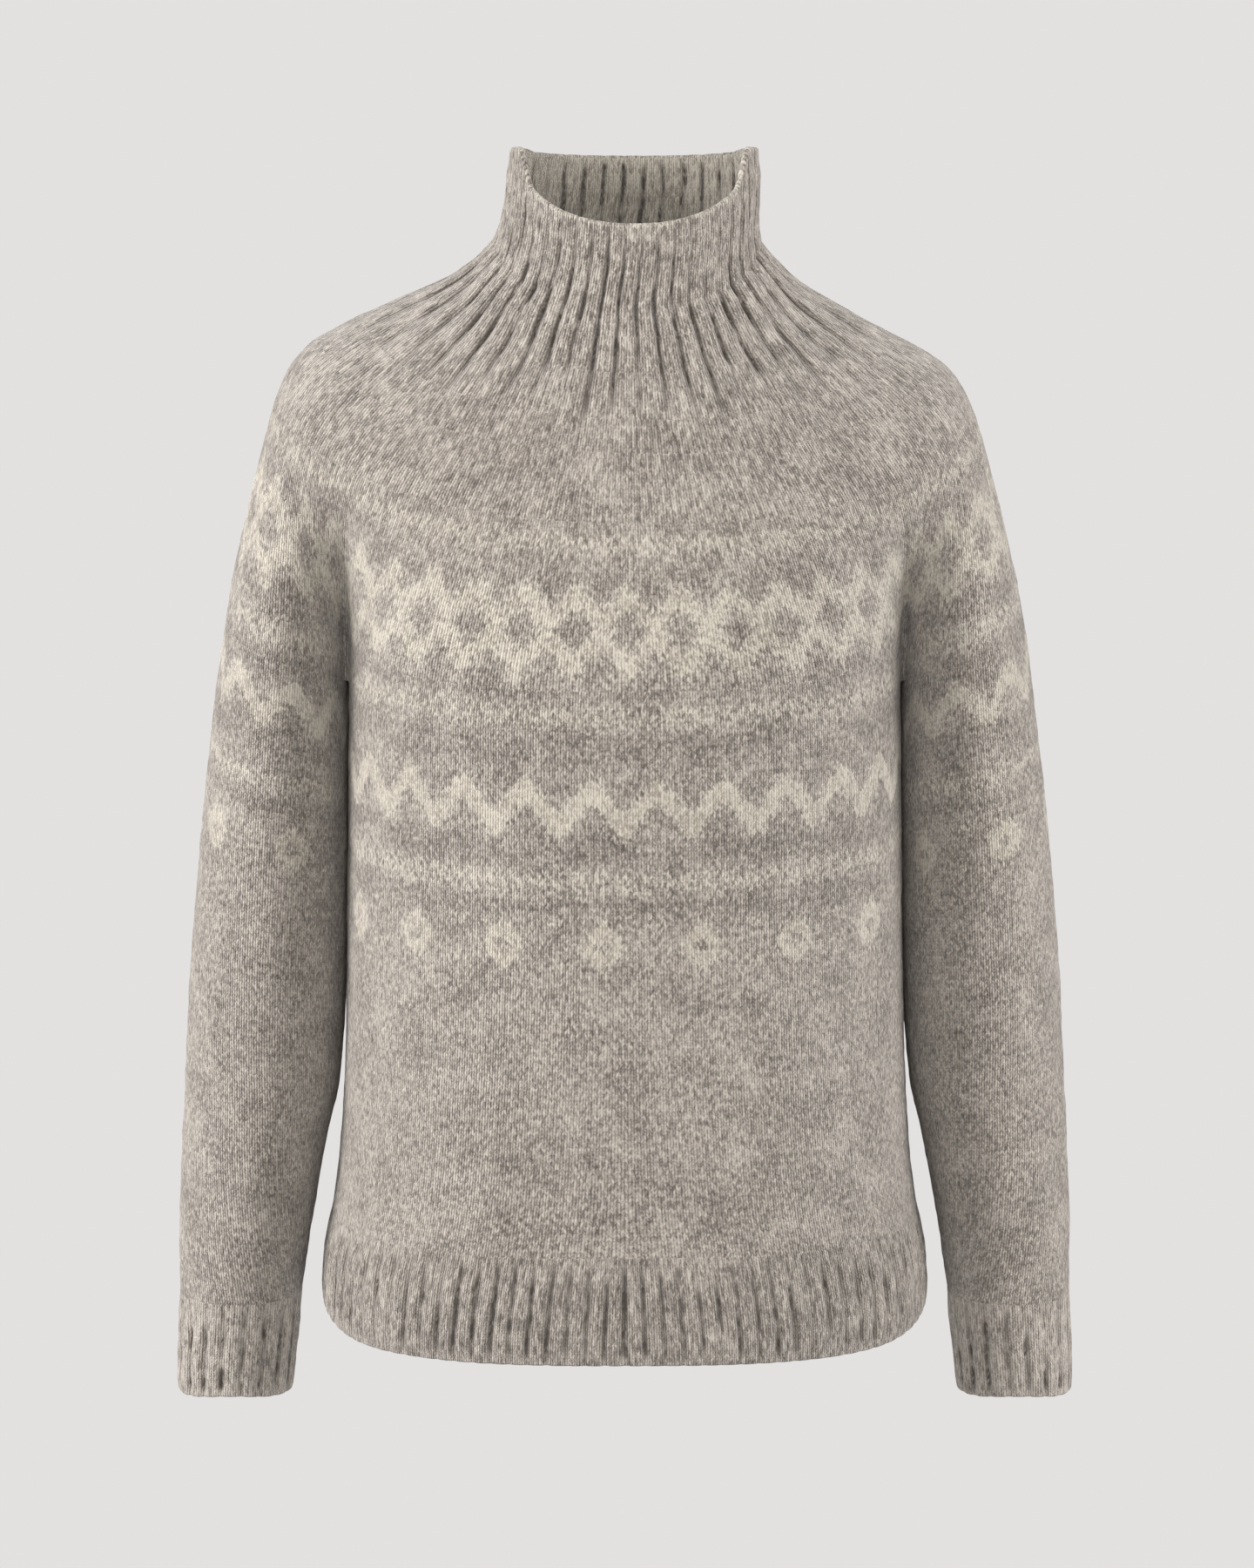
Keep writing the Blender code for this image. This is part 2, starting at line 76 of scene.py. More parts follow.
# Units of wale in a quarter of the yoke: from the centre to the underarm crease, and from there to
# the shoulder. The neck has about one rib for each, and its ribs are narrower in front than behind.
CREASE_RIBS = 6
SHOULDER_RIBS = 4
TURN_RIBS = 4 * (CREASE_RIBS + SHOULDER_RIBS)
FRONT_RIBS = 1.2
BACK_RIBS = 0.9
RIB_CHANGE = (0.15, 0.35)
UNDERARM_RIBS = 1 / 3
HEM_RIBS = 96
CUFF_RIBS = 18

# Columns of points, and where the wale lines of the underarm crease and the shoulder stand.
LINES_PER_RIB = 16
TRIM_LINES_PER_RIB = 10
UNDERARM_LINES = 8
CREASE = LINES_PER_RIB * CREASE_RIBS
QUARTER = LINES_PER_RIB * (CREASE_RIBS + SHOULDER_RIBS)
BODY_SIDE = CREASE + UNDERARM_LINES
HEM_SIDE = TRIM_LINES_PER_RIB * HEM_RIBS // 4
CURVE_SAMPLES = 400

# Courses of knitting in each piece, and the width of one stitch where nothing else sets it.
NECK_COURSES = 22
YOKE_COURSES = 108
BODY_COURSES = 133
SLEEVE_COURSES = 178
HEM_COURSES = 27
CUFF_COURSES = 26
STITCH = 0.00295
BODY_START = NECK_COURSES + YOKE_COURSES

# Stitches for each unit of wale. On the yoke they increase at these courses of it.
INCREASES = ((0, 4), (8, 5), (17, 6), (29, 7), (38, 8), (56, 9.9), (98, 12))
RIB_STITCHES = 4
BODY_STITCHES = 12

# Where ribs grow: how strong they are at the start, and from which course to which they grow.
NECK_GROWTH = (0.62, -14, 6)
NECK_RIM_GROWTH = (0.35, 0, 6)
TRIM_GROWTH = (0, -3, 9)
TRIM_RIM_GROWTH = (0.3, 0, 3)
YOKE_RIB_FADE = (4, 46)

# How far the ribs of hem and cuffs stand out, next to those of the neck.
HEM_RIB_HEIGHT = 0.78
CUFF_RIB_HEIGHT = 0.85

# Furrows between ribs: width and wander, in ribs, and depth, as its mean, spread, spans and limits.
NECK_FURROW = 0.145
TRIM_FURROW = 0.18
FURROW_WANDER = 0.040
WANDER_SPANS = (1.2, 2.5, 8)
WANDER_SEED = 10
FURROW_DEPTH = (0.82, 0.52, (0.9, 1.8, 6), (0.15, 1.3))
DEPTH_SEED = 20

# Uneven tension, in metres, which has gone at a piece's seams.
UNEVEN = 0.00026
UNEVEN_SPANS = (1.2, 5)
UNEVEN_FROM_SEAM = (0, 6)

# The inside of the neck: its furrows, which are dug in and painted as shade, how patchy they are, how
# deep they dig, and the cream painted over it as light where it lies in shade.
INSIDE_RIBS = 1.25
INSIDE_GROWTH = (0, 3)
INSIDE_PATCHES = (0.8, 0.3, (1.2, 3), (0.2, 1.1))
INSIDE_SEED = 40
INSIDE_DIG = 0.0011
INSIDE_PAINTED_LIGHT = 1.0

# Open rims: the turns and flatness of their rounding, their swell and its rows, the courses that a
# row of the rounding takes, and the cream along the neck's rim, which is a painted highlight.
RIM_TURNS = np.radians((30, 60, 90, 120, 150))
RIM_ROWS = len(RIM_TURNS)
RIM_SQUASH = 0.9
RIM_SWELL = 0.0006
RIM_SWELL_ROWS = 1.8
RIM_COURSE = 0.5
RIM_PAINTED_HIGHLIGHT = 0.6

# How far stitches are drawn out lengthways, fully at 1, as in ribs, and where that eases on the yoke.
PLAIN_DRAWN = 0.3
YOKE_DRAWN_EASE = (20, 90)

# Rows and columns of the outer face for each one of the inner face.
PLAIN_INNER = (6, 4)
TRIM_INNER = (3, 2)
NECK_INNER = (1, 1)

# Heights in the layout for baking: of the outer face, at the top, of the inner face, at the bottom, and
# of the strips for the edges between them.
BAKE_OUTER = 0.78
BAKE_INNER = 0.18
BAKE_EDGES = 0.188
BAKE_EDGE = 0.004
BAKE_EDGE_STEP = 0.008


def table(columns, *rows):
    """Named columns of numbers from rows. The first column is the one that the others are read by."""
    values = np.array(rows, float)
    names = columns.split()
    return {"key": values[:, 0]} | {name: values[:, i] for i, name in enumerate(names)}


NECK = table(
    "level side_x side_z front_y front_z back_y back_z shift",
    (0.00, 0.0688, 0.0562, 0.0640, 0.0145, 0.0560, 0.0522, 0.0053),
    (0.25, 0.0700, 0.0430, 0.0645, 0.0040, 0.0560, 0.0395, 0.0050),
    (0.50, 0.0705, 0.0305, 0.0650, -0.0065, 0.0565, 0.0270, 0.0042),
    (0.75, 0.0714, 0.0178, 0.0662, -0.0175, 0.0580, 0.0142, 0.0028),
    (1.00, 0.0742, 0.0055, 0.0690, -0.0290, 0.0615, 0.0015, 0.0014),
)

YOKE = table(
    "round side_x side_z front_y front_z back_y back_z crease_x split",
    (0.00, 0.0742, 0.0055, 0.0690, -0.0290, 0.0615, 0.0015, 0.0615, 0.00),
    (0.06, 0.0822, -0.0035, 0.0735, -0.0420, 0.0680, -0.0095, 0.0690, 0.00),
    (0.12, 0.0962, -0.0150, 0.0780, -0.0560, 0.0750, -0.0220, 0.0785, 0.00),
    (0.20, 0.1262, -0.0300, 0.0850, -0.0740, 0.0850, -0.0400, 0.0955, 0.00),
    (0.32, 0.1634, -0.0475, 0.0940, -0.1000, 0.0965, -0.0670, 0.1170, 0.00),
    (0.38, 0.1788, -0.0570, 0.0985, -0.1130, 0.1010, -0.0810, 0.1270, 0.00),
    (0.44, 0.1885, -0.0680, 0.1025, -0.1260, 0.1045, -0.0950, 0.1360, 0.02),
    (0.54, 0.1990, -0.0900, 0.1090, -0.1490, 0.1090, -0.1220, 0.1480, 0.10),
    (0.66, 0.2065, -0.1170, 0.1155, -0.1765, 0.1125, -0.1530, 0.1540, 0.36),
    (0.78, 0.2145, -0.1480, 0.1205, -0.2040, 0.1140, -0.1850, 0.1560, 0.66),
    (0.90, 0.2215, -0.1790, 0.1240, -0.2320, 0.1140, -0.2180, 0.1570, 0.90),
    (1.00, 0.2268, -0.2040, 0.1255, -0.2560, 0.1130, -0.2450, 0.1575, 1.00),
)

BODY = table(
    "z half_width front_y back_y square",
    (-0.610, 0.1738, 0.1285, 0.1185, 2.70),
    (-0.596, 0.1746, 0.1290, 0.1190, 2.68),
    (-0.577, 0.1738, 0.1290, 0.1184, 2.62),
    (-0.548, 0.1697, 0.1285, 0.1160, 2.52),
    (-0.520, 0.1658, 0.1275, 0.1130, 2.42),
    (-0.479, 0.1626, 0.1264, 0.1092, 2.34),
    (-0.425, 0.1606, 0.1260, 0.1065, 2.28),
    (-0.360, 0.1592, 0.1265, 0.1064, 2.25),
    (-0.300, 0.1582, 0.1266, 0.1088, 2.25),
    (-0.235, 0.1572, 0.1254, 0.1130, 2.25),
    (-0.080, 0.1560, 0.1120, 0.1050, 2.25),
)

SLEEVE = table(
    "z outer_x inner_x middle_y half_depth",
    (-0.662, 0.2592, 0.1950, -0.0190, 0.0285),
    (-0.640, 0.2590, 0.1930, -0.0185, 0.0300),
    (-0.612, 0.2580, 0.1898, -0.0165, 0.0335),
    (-0.5835, 0.2584, 0.1858, -0.0135, 0.0375),
    (-0.557, 0.2585, 0.1818, -0.0100, 0.0415),
    (-0.531, 0.2576, 0.1772, -0.0060, 0.0450),
    (-0.505, 0.2567, 0.1722, -0.0020, 0.0475),
    (-0.479, 0.2552, 0.1662, 0.0020, 0.0498),
    (-0.425, 0.2527, 0.1616, 0.0060, 0.0530),
    (-0.360, 0.2470, 0.1599, 0.0070, 0.0555),
    (-0.300, 0.2405, 0.1588, 0.0060, 0.0575),
    (-0.240, 0.2325, 0.1577, 0.0040, 0.0590),
    (-0.200, 0.2260, 0.1575, 0.0030, 0.0605),
    (-0.140, 0.2128, 0.1570, 0.0020, 0.0640),
    (-0.090, 0.1985, 0.1560, 0.0010, 0.0680),
)

# Soft creases, each on the front, side -1, or the back, side 1, where it fades in over these depths.
# lean is the tilt from upright in radians, length and width are where it has mostly faded, and rise
# is outwards. The first ones are the large folds that the solids have too.
CREASE_FACING = (0.0, 0.035)
CREASES = table(
    "side x z lean length width rise",
    (-1, 0.112, -0.310, 0.55, 0.070, 0.020, -0.0034),
    (-1, -0.108, -0.325, -0.50, 0.060, 0.022, -0.0030),
    (-1, -0.074, -0.490, 0.08, 0.085, 0.026, 0.0030),
    (-1, 0.018, -0.520, -0.05, 0.060, 0.028, -0.0026),
    (-1, 0.092, -0.470, -0.12, 0.090, 0.027, 0.0030),
    (1, 0.104, -0.320, 0.60, 0.070, 0.022, -0.0032),
    (1, -0.110, -0.300, -0.52, 0.060, 0.021, -0.0034),
    (1, -0.048, -0.470, -0.06, 0.090, 0.028, -0.0036),
    (1, 0.052, -0.500, 0.05, 0.080, 0.027, -0.0030),
    (-1, 0.212, -0.395, 1.15, 0.034, 0.016, -0.0028),
    (-1, -0.214, -0.425, -1.20, 0.036, 0.016, -0.0030),
    (-1, 0.228, -0.560, 1.30, 0.030, 0.014, -0.0022),
    (-1, -0.226, -0.545, -1.25, 0.030, 0.014, -0.0024),
    (1, 0.216, -0.410, 1.20, 0.034, 0.016, 0.0026),
    (1, -0.214, -0.400, -1.15, 0.034, 0.016, 0.0026),
    (-1, 0.128, -0.262, 0.95, 0.040, 0.009, -0.0018),
    (-1, -0.122, -0.255, -0.85, 0.046, 0.010, -0.0020),
    (-1, 0.140, -0.372, 0.35, 0.050, 0.012, -0.0013),
    (-1, -0.138, -0.402, -0.28, 0.058, 0.013, -0.0014),
    (-1, -0.026, -0.428, 0.22, 0.048, 0.016, 0.0012),
    (-1, 0.052, -0.398, -0.30, 0.052, 0.015, -0.0011),
    (1, 0.128, -0.262, 0.90, 0.044, 0.010, -0.0019),
    (1, -0.126, -0.268, -0.95, 0.040, 0.009, -0.0018),
    (1, 0.012, -0.395, 0.18, 0.060, 0.017, 0.0013),
    (1, -0.132, -0.420, -0.30, 0.052, 0.013, -0.0014),
    (1, 0.136, -0.455, 0.26, 0.056, 0.013, -0.0012),
    (-1, 0.198, -0.318, 0.70, 0.036, 0.010, -0.0014),
    (-1, -0.202, -0.300, -0.80, 0.032, 0.009, -0.0013),
    (-1, 0.210, -0.470, 1.35, 0.028, 0.010, -0.0016),
    (-1, -0.214, -0.492, -1.10, 0.030, 0.010, -0.0015),
    (-1, 0.238, -0.522, 0.95, 0.022, 0.009, 0.0012),
    (-1, -0.236, -0.580, -1.05, 0.022, 0.009, 0.0012),
    (1, 0.204, -0.330, 0.80, 0.034, 0.010, -0.0014),
    (1, -0.206, -0.352, -0.75, 0.036, 0.010, -0.0015),
    (1, 0.222, -0.505, 1.25, 0.028, 0.010, -0.0015),
    (1, -0.220, -0.520, -1.30, 0.026, 0.010, -0.0014),
    (-1, 0.046, 0.004, 0.62, 0.018, 0.007, -0.0012),
    (-1, 0.062, -0.012, 0.40, 0.020, 0.008, 0.0010),
    (-1, -0.052, -0.008, -0.45, 0.020, 0.008, -0.0010),
)

# The knitting charts, top course first: O and o are cream yarn, O with the most of it, + and - are
# cream that the ground shows through by half and by more, . is the ground, and d is ground with the
# darker yarn stranded behind. Each is one repeat, and its first column is at the front's centre less
# half a repeat.
WORTH = {"d": -0.12, ".": 0.0, "-": 0.3, "+": 0.6, "o": 1.0, "O": 1.35}
SPECKLES = """
    .--.
    -+-.
    +-o-
    -o-+
    +-o-
    -+-+
    .-+-
    ..-.
"""
DARK_ROUNDS = "d d d d"
LATTICE = """
    dd..-..dd
    dd..o..dd
    dd.+o+.dd
    d.-ooo-.d
    d.+ooo+.d
    ..ooooo..
    .+ooooo+.
    -ooo+ooo-
    +ooo-ooo+
    ooo-.-ooo
    ooo...ooo
    oo-...-oo
    oo.d.d.oo
    o-.ddd.-o
    oo.d.d.oo
    oo-...-oo
    ooo...ooo
    ooo-.-ooo
    +ooo-ooo+
    -ooo+ooo-
    .+ooooo+.
    ..ooooo..
    d.+ooo+.d
    d.-ooo-.d
    dd.+o+.dd
    dd..o..dd
    ddd.-.ddd
"""
ZIGZAG = """
    O.d.......d.
    OO..dd.dd..O
    OO-.dd.dd.-O
    OOO..ddd..OO
    OOOO..d..OOO
    OOOO.....OOO
    .OOOO...OOOO
    ..OOO...OOO.
    ..OOOO.OOOO.
    ...OOOOOOO..
    d...OOOOO...
    d-..OOOOO..-
    d-..+OOO+..-
    dd-..OOO..-d
    dd-..+O+..-d
"""
DIAMONDS = """
    .+-..-...O....-..-
    +o+......O......-+
    .+-.....OOO.....-.
    .......OOOOO......
    -..-..-OOOOO-..-..
    ......OOO.OOO.....
    ..-..-OO.d.OO-..-.
    .....-OO.d.OO-....
    ......OOO.OOO....-
    -..-..-OOOOO-..-..
    .+.....OOOOO.....-
    +o+.....OOO.....-+
    .+-......O........
    .........O........
"""

# The bands of the pattern from the top, each with how many stitches it is off the front's centre, and
# the courses where it starts on the yoke and body, and on the sleeves.
BANDS = (
    (SPECKLES, 0, 80, 79),
    (LATTICE, 1, 92, 89),
    (DARK_ROUNDS, 0, 119, 116),
    (SPECKLES, 0, 123, 120),
    (DARK_ROUNDS, 0, 131, 128),
    (DARK_ROUNDS, 0, 135, 132),
    (ZIGZAG, 0, 142, 134),
    (DARK_ROUNDS, 0, 156, 148),
    (DARK_ROUNDS, 0, 160, 152),
    (SPECKLES, 0, 164, 159),
    (DARK_ROUNDS, 0, 172, 167),
    (DIAMONDS, -4, 177, 174),
)

# How much of each stitch's cream lies over each of its neighbours, and the plain rows round a chart.
BRUSHED = 0.2
CHART_MARGIN = 2

# The wool's colours, and the weights of what mixes a stitch's tone: its own fleck, streaks along the
# wale, fibres, mottling and the yarn's roundness, which is painted light on the crowns of the stitches'
# legs and painted shade between them.
DARK_FLECK = (0.058, 0.046, 0.037, 1.0)
LIGHT_FLECK = (0.455, 0.412, 0.362, 1.0)
CREAM_SHADE = (0.190, 0.165, 0.132, 1.0)
CREAM_LIGHT = (0.490, 0.452, 0.385, 1.0)
# Painted shade for the furrows between ribs.
FURROW_PAINTED_SHADE = (0.052, 0.040, 0.031, 1.0)
TONE_WEIGHTS = (0.30, 1.60, 0.70, 0.50, 0.34)
TONE_MIDDLE = 1.285
STRANDED_WEIGHT = 0.5
# The cuffs' wool is lighter than the rest: painted light, where the cuffs face down and get less of the
# lamps.
CUFF_PAINTED_LIGHT_SHIFT = -0.10
RIB_DARKER = 0.02

# How finely the noise is drawn, for each stitch and course, or for each metre.
LOOSE_STREAK = (1.7, 0.72, 1.0)
DRAWN_STREAK = (1.7, 0.26, 1.0)
DRAWN_SHARE = 0.9
MOTTLE_SCALE = 46
FIBRE_SCALE = 1300
STITCH_LEAN = 0.8


# The form, which repeats that of the solids.


def lookup(rows, column, at):
    """A column's value at a place along the table, on a smooth curve that never overshoots its rows."""
    key, values = rows["key"], rows[column]
    slope = np.diff(values) / np.diff(key)
    product, total = slope[:-1] * slope[1:], slope[:-1] + slope[1:]
    rising = product > 0
    middle = np.where(rising, 2 * product / np.where(rising, total, 1), 0)
    tangent = np.concatenate([slope[:1], middle, slope[-1:]])
    i = np.clip(np.searchsorted(key, at) - 1, 0, len(key) - 2)
    span = key[i + 1] - key[i]
    t = np.clip((at - key[i]) / span, 0, 1)
    from_low = values[i] * (1 + 2 * t) + tangent[i] * span * t
    from_high = values[i + 1] * (3 - 2 * t) + tangent[i + 1] * span * (t - 1)
    return from_low * (1 - t) ** 2 + from_high * t**2


def smooth_step(low, high, at):
    """0 up to low, 1 from high on, and a soft slope between."""
    t = np.clip((at - low) / (high - low), 0, 1)
    return t * t * (3 - 2 * t)


def even(lines):
    """Shares of a stretch, evenly spaced from 0 to 1."""
    return np.linspace(0, 1, lines + 1)


def squared_oval(turn, half_width, depth, square=ROUND_SQUARE):
    """A quarter of a squared oval. Turn 0 is its centre, at x 0, and a quarter turn is its side."""
    return half_width * np.sin(turn) ** (2 / square), depth * np.abs(np.cos(turn)) ** (2 / square)


def turns_along(curve, start, end, shares):
    """The turns that stand at these shares of a curve's length from one turn to another."""
    turn = np.linspace(start, end, CURVE_SAMPLES)
    x, y = curve(turn)
    length = np.concatenate([[0], np.cumsum(np.hypot(np.diff(x), np.diff(y)))])
    return np.interp(shares * length[-1], length, turn)


def body_points(turn, z, side):
    """Points on the +X half of the body's plain outer face, in front, side -1, or behind, side 1."""
    depth = lookup(BODY, "front_y" if side < 0 else "back_y", z)
    x, y = squared_oval(turn, lookup(BODY, "half_width", z), depth, lookup(BODY, "square", z))
    return np.stack([x, side * y, z + 0 * x], -1)


def body_crease_turn(z, side):
    """The turn of the body's outline at the underarm crease."""
    depth = abs(body_points(0.0, z, side)[1])
    return np.arccos((UNDERARM_HALF / depth) ** (lookup(BODY, "square", z) / 2))


def sleeve_points(turn, z, side):
    """Points on the +X sleeve's plain outer face. Turn 0 is its outer side and half a turn its inner."""
    outer, inner = lookup(SLEEVE, "outer_x", z), lookup(SLEEVE, "inner_x", z)
    x = (outer + inner) / 2 + (outer - inner) / 2 * np.cos(turn)
    y = lookup(SLEEVE, "middle_y", z) + side * lookup(SLEEVE, "half_depth", z) * np.sin(turn)
    return np.stack([x, y, z + 0 * x], -1)


def length_turns(points_at, z, side, start, end, shares):
    """Turns at these shares of the length of the body's or a sleeve's outline between two turns."""
    return turns_along(lambda turn: points_at(turn, z, side)[:, :2].T, start, end, shares)


def sleeve_crease_turn(z, side):
    """The turn of the sleeve's outline at the underarm crease."""
    reach = UNDERARM_HALF - side * lookup(SLEEVE, "middle_y", z)
    return pi - np.arcsin(reach / lookup(SLEEVE, "half_depth", z))


def closed_round(front, back):
    """A closed round, or a grid of them, from its two quarters on the +X side, from centre to side."""
    half = np.concatenate([front, back[..., -2::-1, :]], axis=-2)
    return np.concatenate([half, half[..., -2:0:-1, :] * (-1, 1, 1)], axis=-2)


def mirrored_round(points):
    """A grid of closed rounds on the other side of the body, which go round the same way."""
    return points[:, np.append(0, np.arange(points.shape[1] - 1, 0, -1))] * (-1, 1, 1)


def tilted(points):
    """Points with the shoulders' tilt, which has gone at the neck and under the arms."""
    x, z = points[..., 0], points[..., 2]
    share = smooth_step(*TILT_TOP, z) * smooth_step(*TILT_LOW, z)
    drop = SHOULDER_TILT * share * np.clip(x / SHOULDER_AT, -1, 1)
    return points - np.stack([0 * x, 0 * x, drop], -1)


def creased(points):
    """Points moved forward or back by the soft creases."""
    x, y, z = points[..., 0], points[..., 1], points[..., 2]
    moved = points.copy()
    for side, at_x, at_z, lean, length, width, rise in zip(*list(CREASES.values())[1:]):
        along = (z - at_z) * np.cos(lean) + (x - at_x) * np.sin(lean)
        across = (x - at_x) * np.cos(lean) - (z - at_z) * np.sin(lean)
        facing = smooth_step(*CREASE_FACING, side * y)
        share = np.exp(-((along / length) ** 2) - (across / width) ** 2) * facing
        moved[..., 1] += side * rise * share
    return moved


def oval_quarter(rows, at, side, crease_x, held_up=0.0):
    """A quarter of an oval round of the neck or yoke, which falls from its side to its centre.

    held_up is how far it keeps the height of its side up to the rim's step."""
    name = "front" if side < 0 else "back"
    half_width, depth = lookup(rows, "side_x", at), lookup(rows, name + "_y", at)
    crease = np.arcsin((crease_x / half_width) ** (ROUND_SQUARE / 2))

    def outline(turn):
        return squared_oval(turn, half_width, depth)

    to_crease = turns_along(outline, 0, crease, even(CREASE))
    to_side = turns_along(outline, crease, pi / 2, even(QUARTER - CREASE))
    x, y = outline(np.append(to_crease, to_side[1:]))
    top, low = lookup(rows, "side_z", at), lookup(rows, name + "_z", at)
    fallen = dip(y / depth) * (1 - held_up * (1 - smooth_step(*RIM_STEP, y / depth)))
    return np.stack([x, side * y, top + (low - top) * fallen], -1)


def dip(reach):
    """How far a round has fallen, from 0 at its side, reach 0, to 1 at its centre, reach 1."""
    return (np.hypot(reach, DIP_SOFTNESS) - DIP_SOFTNESS) / (np.hypot(1, DIP_SOFTNESS) - DIP_SOFTNESS)


def neck_round(level):
    """A closed round of the funnel neck, whose wale lines are in step with the yoke's first round."""
    crease_share = lookup(YOKE, "crease_x", 0.0) / lookup(YOKE, "side_x", 0.0)
    crease_x = crease_share * lookup(NECK, "side_x", level)
    points = closed_round(*(oval_quarter(NECK, level, side, crease_x, 1 - level) for side in (-1, 1)))
    points[:, 0] += lookup(NECK, "shift", level)
    return tilted(points)


def parted_quarter(oval, side):
    """The same quarter where the round has parted: round the body to the crease, then the sleeve."""
    z = oval[:, 2]
    to_crease = length_turns(body_points, z[CREASE], side, 0, body_crease_turn(z[CREASE], side), even(CREASE))
    start = sleeve_crease_turn(z[CREASE], side)
    to_side = length_turns(sleeve_points, z[CREASE], side, start, 0, even(QUARTER - CREASE))
    body = body_points(to_crease, z[: CREASE + 1], side)
    sleeve = sleeve_points(to_side, z[CREASE:], side)
    meeting = (body[-1:] + sleeve[:1]) / 2
    return np.concatenate([body[:-1], meeting, sleeve[1:]])


def yoke_round(at):
    """A closed round of the yoke: an oval over the shoulders, which parts into body and sleeves."""
    quarters = []
    for side in (-1, 1):
        oval = oval_quarter(YOKE, at, side, lookup(YOKE, "crease_x", at))
        parted = parted_quarter(oval, side)
        quarters.append(oval + (parted - oval) * lookup(YOKE, "split", at))
    points = closed_round(*quarters)
    points[:, 0] += lookup(NECK, "shift", 1.0) * (1 - at)
    return tilted(points)


def fall(top, bottom, courses):
    """Heights from each column's top down to the bottom, as a grid with a row for each course."""
    share = even(courses)[:, None]
    return np.asarray(top)[None, :] * (1 - share) + bottom * share


def normals(grid):
    """Unit normals of a closed grid of points, facing out where its rows go down and its columns round."""
    down = np.gradient(grid, axis=0)
    along = np.roll(grid, -1, axis=1) - np.roll(grid, 1, axis=1)
    cross = np.cross(down, along)
    return cross / np.linalg.norm(cross, axis=-1, keepdims=True)


# The knitting on that form.


def growing(share, start, end, at):
    """A strength that has this share up to the start, and is full from the end on."""
    return share + (1 - share) * smooth_step(start, end, at)


def rib_furrow(phase, width):
    """How deep a point is in the furrow between two ribs: 1 in its middle, and 0 on the rib."""
    from_furrow = np.minimum(phase % 1, 1 - phase % 1)
    return np.exp(-((from_furrow / width) ** 2))


def neck_ribs(wale):
    """The count of the neck's ribs up to these wale lines, with a rib at the front's centre."""
    line = even(CURVE_SAMPLES) * TURN_RIBS / 2
    width = FRONT_RIBS + (BACK_RIBS - FRONT_RIBS) * smooth_step(*RIB_CHANGE, line / TURN_RIBS)
    count = np.concatenate([[0], np.cumsum((width[1:] + width[:-1]) / 2 * np.diff(line))])
    half = np.interp(np.minimum(wale, TURN_RIBS - wale), line, count)
    return np.where(wale < TURN_RIBS / 2, half, 2 * count[-1] - half) + 0.5


def uneven(shape, seed, *spans):
    """Smooth seeded noise over a closed grid: a sum of layers that vary over these spans of points."""
    draw = np.random.default_rng(seed)
    total = np.zeros(shape)
    for span in spans:
        layer = np.fft.rfft2(draw.standard_normal(shape))
        down = np.fft.fftfreq(shape[0])[:, None]
        along = np.fft.rfftfreq(shape[1])[None, :]
        layer *= np.exp(-2 * (pi * span * np.hypot(down, along)) ** 2)
        smooth = np.fft.irfft2(layer, s=shape)
        total += smooth / smooth.std()
    return total / len(spans)


def patchy(shape, seed, mean, spread, spans, limits):
    """The same noise round a mean, kept within limits."""
    return np.clip(mean + spread * uneven(shape, seed, *spans), *limits)


def chart(text):
    """A chart as a grid of each stitch's cream, part of which is brushed over the stitches next to it."""
    marks = np.array([[WORTH[mark] for mark in row] for row in text.split()])
    grid = np.pad(marks, ((CHART_MARGIN, CHART_MARGIN), (0, 0)))
    for axis in (0, 1):
        grid = (1 - 2 * BRUSHED) * grid + BRUSHED * (np.roll(grid, 1, axis) + np.roll(grid, -1, axis))
    return grid


def cream_at(stitch, course, on_sleeve=False):
    """How much cream is worked in at these places, between the middles of the stitches round each.

    stitch counts from the middle of the one that the charts are centred on."""
    stitch, course = np.broadcast_arrays(stitch, course)
    cream = np.zeros(stitch.shape)
    for text, offset, *starts in BANDS:
        start = starts[on_sleeve]
        worth = chart(text)
        rows, repeat = worth.shape
        row = np.clip(course - start + CHART_MARGIN, 0, rows - 1.001)
        column = stitch - offset + repeat / 2
        low_row, low_column = np.floor(row).astype(int), np.floor(column).astype(int)
        down, along = row - low_row, column - low_column
        for r, down_share in ((0, 1 - down), (1, down)):
            for c, along_share in ((0, 1 - along), (1, along)):
                cream += worth[low_row + r, (low_column + c) % repeat] * down_share * along_share
    return cream


def stitches_per_rib(course):
    """Stitches for each rib at a course of the yoke."""
    starts, counts = zip(*INCREASES)
    return np.array(counts)[np.searchsorted(starts, course, side="right") - 1]


